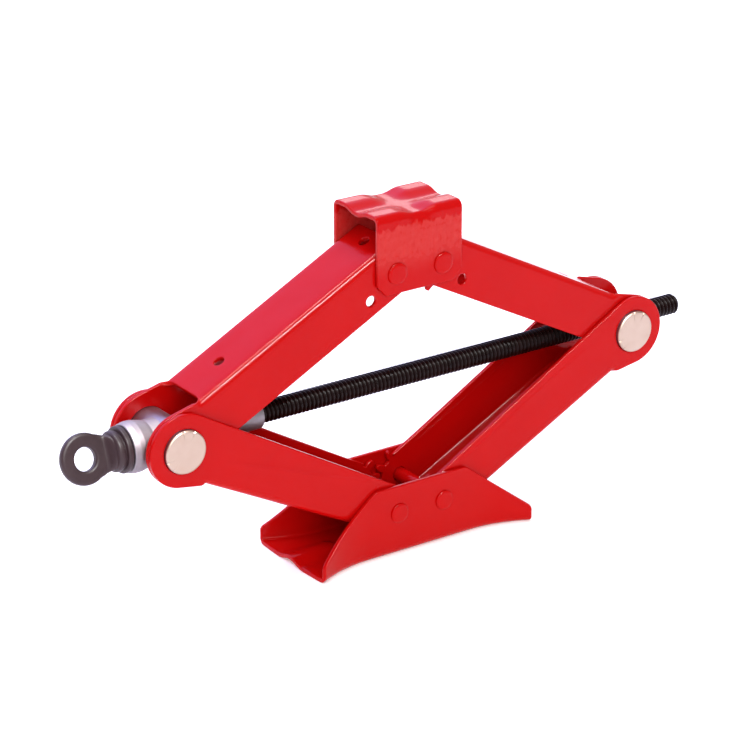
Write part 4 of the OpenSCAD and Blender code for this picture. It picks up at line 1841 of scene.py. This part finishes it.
@dataclass
class DriveEye:
    """The forged eye: a flat ring, a neck that blends into it, and a turned collar over the bearing."""

    link: Linkage
    eye_r: float = 15.95
    hole_r: float = 7.25
    thickness: float = 5.9
    reach: float = 55.0
    turn_deg: float = 18.5
    spigot_r: float = 12.1
    spigot_from: float = 26.1
    collar_from: float = 28.4
    collar_to: float = 32.0
    collar_r: float = 14.6
    groove_r: float = 11.8
    bulge_from: float = 33.0
    bulge_to: float = 36.8
    bulge_r: float = 12.8
    neck_r: float = 11.1
    flat_from: float = 41.8
    voxel: float = 0.42

    @property
    def centre(self) -> Vector:
        """Centre of the thrust trunnion."""
        return Vector((-self.link.trunnion_x, 0.0, self.link.trunnion_z))

    def collar(self) -> Piece:
        """Builds the turned collar, its groove and the bulge behind it."""
        section = rounded([
            (-self.spigot_from, 0.0, 0.0),
            (-self.spigot_from, self.spigot_r, 0.2),
            (-self.collar_from, self.spigot_r, 0.0),
            (-self.collar_from, self.collar_r, 0.8),
            (-self.collar_to, self.collar_r, 0.9),
            (-self.collar_to, self.groove_r, 0.3),
            (-self.bulge_from, self.groove_r, 0.3),
            (-self.bulge_from, self.bulge_r, 1.0),
            (-self.bulge_to, self.bulge_r, 1.8),
            (-self.bulge_to - 1.0, self.neck_r - 1.5, 0.0),
            (-self.bulge_to - 1.0, 0.0, 0.0),
        ])
        return turned_piece("collar", section, self.centre, Axis.ALONG)

    def neck(self) -> Piece:
        """Lofts the neck from round behind the bulge to flat at the ring."""
        start, end, rings, segments = self.bulge_to - 1.5, self.reach - 8.0, 30, 48
        spots, faces = [], []
        for i in range(rings + 1):
            at = start + (end - start) * i / rings
            slim = float(smoothstep(self.bulge_to - 0.6, self.flat_from, np.array(at)))
            half_y = self.neck_r * (1 - slim) + self.thickness / 2 * slim
            half_z = self.neck_r + 2.3 * float(smoothstep(self.bulge_to + 2.0, end, np.array(at)))
            power = 2.0 + 2.5 * slim
            for k in range(segments):
                angle = 2 * math.pi * k / segments
                c, s = math.cos(angle), math.sin(angle)
                y = half_y * math.copysign(abs(c) ** (2 / power), c)
                z = half_z * math.copysign(abs(s) ** (2 / power), s)
                spots.append((-at, y, z))
        for i in range(rings):
            for k in range(segments):
                a, b = i * segments + k, i * segments + (k + 1) % segments
                faces.append((a, b, b + segments, a + segments))
        faces.append(tuple(range(segments)))
        faces.append(tuple(reversed(range(rings * segments, (rings + 1) * segments))))
        return make_piece("neck", np.array(spots) + np.array(self.centre), faces)

    def ring(self) -> Piece:
        """Builds the flat ring with its rounded rims."""
        half, soft = self.thickness / 2, 2.2
        section = rounded([
            (0.0, self.eye_r, 0.0),
            (half, self.eye_r, soft),
            (half, self.hole_r, 1.5),
            (-half, self.hole_r, 1.5),
            (-half, self.eye_r, soft),
            (-0.5, self.eye_r, 0.0),
        ])
        place = self.centre - Vector((self.reach, 0.0, 0.0))
        return turned_piece("ring", section, place, Axis.ACROSS, closed=True)

    def fit(self, forged: Material) -> None:
        """Builds, finishes and hands over the drive eye.

        Args:
            forged: the dark forged finish.
        """
        forging = join_meshes("forging", [self.ring(), self.neck()])
        weld = forging.modifiers.new("weld", "REMESH")
        weld.mode, weld.voxel_size, weld.use_smooth_shade = "VOXEL", self.voxel * MM, True
        soften = forging.modifiers.new("soften", "SMOOTH")
        soften.factor, soften.iterations = 0.5, 14
        bake_modifiers(forging)
        tilt = Matrix.Rotation(math.radians(-self.turn_deg), 4, "X")
        to_axis = Matrix.Translation(self.centre * MM)
        forging.data.transform(to_axis @ tilt @ to_axis.inverted())
        forging.data.polygons.foreach_set("use_smooth", [True] * len(forging.data.polygons))
        eye = join_meshes("forged_drive_eye", [forging, self.collar()])
        hand_over(dress(eye, forged), "screw", "drive_eye")


# ---- studio ------------------------------------------------------------------------------


@dataclass
class SoftBox:
    """A rectangular light that points at the jack and is only seen in what shines."""

    name: str
    place: tuple[float, float, float]
    size: tuple[float, float]
    power: float
    colour: str = "ffffff"

    def light(self, target: Vector) -> None:
        """Hangs the light.

        Args:
            target: point that it faces.
        """
        lamp = bpy.data.lights.new(self.name, "AREA")
        lamp.shape = "RECTANGLE"
        lamp.size, lamp.size_y = self.size
        lamp.energy = self.power
        lamp.color = linear(self.colour)[:3]
        holder = bpy.data.objects.new(self.name, lamp)
        holder.location = self.place
        holder.rotation_euler = (target - Vector(self.place)).to_track_quat("-Z", "Y").to_euler()
        holder.visible_diffuse = False
        bpy.context.scene.collection.objects.link(holder)


@dataclass
class Studio:
    """Pale floor, soft lights and the camera."""

    azimuth_deg: float = -34.82
    elevation_deg: float = 22.28
    distance: float = 1.884
    target: tuple[float, float, float] = (-0.0096, 0.0110, 0.1085)
    lens: float = 142.2
    floor_half: float = 4.0
    sky: str = "fbfaff"
    sky_power: float = 0.55
    cool: str = "bcbcf8"
    cool_power: float = 3.0
    cool_way: Point3 = (-0.1, 0.76, 0.64)

    def camera(self) -> None:
        """Sets up the camera on its azimuth, elevation and distance."""
        a, e = math.radians(self.azimuth_deg), math.radians(self.elevation_deg)
        back = Vector((math.sin(a) * math.cos(e), -math.cos(a) * math.cos(e), math.sin(e)))
        data = bpy.data.cameras.new("camera")
        data.lens, data.sensor_width = self.lens, 36.0
        data.clip_start, data.clip_end = 0.05, 50.0
        camera = bpy.data.objects.new("camera", data)
        camera.location = Vector(self.target) + back * self.distance
        camera.rotation_euler = (-back).to_track_quat("-Z", "Y").to_euler()
        bpy.context.scene.collection.objects.link(camera)
        bpy.context.scene.camera = camera

    def floor(self) -> None:
        """Lays the paper floor."""
        half = self.floor_half / MM
        count = 8
        ticks = [half * (2 * i / count - 1) for i in range(count + 1)]
        spots = np.array([(x, y, -0.05) for y in ticks for x in ticks])
        wide = count + 1
        faces = [(r * wide + c, r * wide + c + 1, (r + 1) * wide + c + 1, (r + 1) * wide + c)
                 for r in range(count) for c in range(count)]
        floor = make_piece("paper_floor", spots, faces)
        floor.data.materials.append(StudioPaper().material())

    def world(self) -> None:
        """Surrounds the scene with soft light that is brighter and cooler behind the jack."""
        world = bpy.data.worlds.new("studio")
        world.use_nodes = True
        tree = world.node_tree
        back = tree.nodes["Background"]
        way = add_node(tree, "ShaderNodeTexCoord").outputs["Generated"]
        facing = add_node(
            tree, "ShaderNodeVectorMath", {0: way, 1: self.cool_way}, operation="DOT_PRODUCT"
        ).outputs["Value"]
        share = add_node(
            tree,
            "ShaderNodeMapRange",
            {"Value": facing, "From Min": 0.55, "From Max": 0.95},
            interpolation_type="SMOOTHSTEP",
        ).outputs["Result"]
        colour = add_node(
            tree, "ShaderNodeMix", {0: share, 6: linear(self.sky), 7: linear(self.cool)}, data_type="RGBA"
        ).outputs[2]
        power = add_node(tree, "ShaderNodeMix", {0: share, 2: self.sky_power, 3: self.cool_power}).outputs[0]
        tree.links.new(colour, back.inputs["Color"])
        tree.links.new(power, back.inputs["Strength"])
        bpy.context.scene.world = world

    def sun(self, name: str, way: Point3, strength: float, spread_deg: float) -> None:
        """Adds a broad, even light.

        Args:
            name: name of the light.
            way: direction that the light comes from.
            strength: its irradiance.
            spread_deg: angle that it fills.
        """
        lamp = bpy.data.lights.new(name, "SUN")
        lamp.energy, lamp.angle = strength, math.radians(spread_deg)
        holder = bpy.data.objects.new(name, lamp)
        holder.rotation_euler = (-Vector(way)).to_track_quat("-Z", "Y").to_euler()
        bpy.context.scene.collection.objects.link(holder)

    def build(self) -> None:
        """Sets up the whole studio."""
        scene = bpy.context.scene
        scene.view_settings.view_transform = "Standard"
        scene.view_settings.look = "None"
        self.camera()
        self.floor()
        self.world()
        self.sun("key", (-0.35, -0.75, 0.56), 2.1, 50.0)
        self.sun("top", (0.05, 0.1, 0.99), 1.5, 40.0)
        middle = Vector(self.target)
        lights = [
            SoftBox("overhead", (-0.28, 0.34, 1.7), (0.7, 0.09), 16.0),
            SoftBox("front", (-0.15, -0.95, 1.45), (0.6, 0.1), 60.0),
            SoftBox("behind", (1.05, 1.53, 0.87), (0.3, 0.16), 0.6),
        ]
        for light in lights:
            light.light(middle)


def main() -> None:
    """Builds the jack piece by piece and then its studio."""
    logging.basicConfig(level=logging.INFO, format="%(name)s: %(message)s")
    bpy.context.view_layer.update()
    link = Linkage.from_frame()
    log.info("arms of %.1f mm at %.2f degrees", link.arm_len, math.degrees(link.angle))
    enamel = RedEnamel().material()
    saddle = Saddle()
    # the saddle's walls carry a painted reflection, dry spray and runs in a height band
    sheen_and_runs_enamel = RedEnamel(
        name="red_enamel_overspray",
        sheen_and_haze_low_mm=link.saddle_pivot_z - 4.0,
        sheen_and_haze_high_mm=link.saddle_pivot_z + saddle.top - saddle.bend_r - 3.0,
    ).material()
    zinc = ZincPlate().material()
    oxide = DarkSteel("black_oxide", "0c0403", "1c0a08", 0.27, 0.0, 0.8, 0.03, 0.12).material()
    forged = DarkSteel("forged_black", "2e1d20", "3a2628", 0.42, 0.0, 1.3, 0.12).material()

    base = Base()
    base.fit(link, enamel)
    for side in Side:
        for level in Level:
            Arm(link, side, level).fit(enamel)
    saddle.fit(link, sheen_and_runs_enamel)
    for side in Side:
        name = side.name.lower()
        PivotPin("base", f"base_pin_{name}", base.half_w, 6.5).fit(enamel)
        PivotPin("saddle", f"saddle_pin_{name}", saddle.half_w, 7.0).fit(enamel)
    Trunnion("thrust_block", "thrust_trunnion").fit()
    Trunnion("nut_block", "nut_trunnion").fit()
    ThrustBearing(link).fit(zinc, CageBrass().material())
    Screw(link).fit(oxide, zinc)
    DriveEye(link).fit(forged)
    Studio().build()


if __name__ == "__main__":
    main()
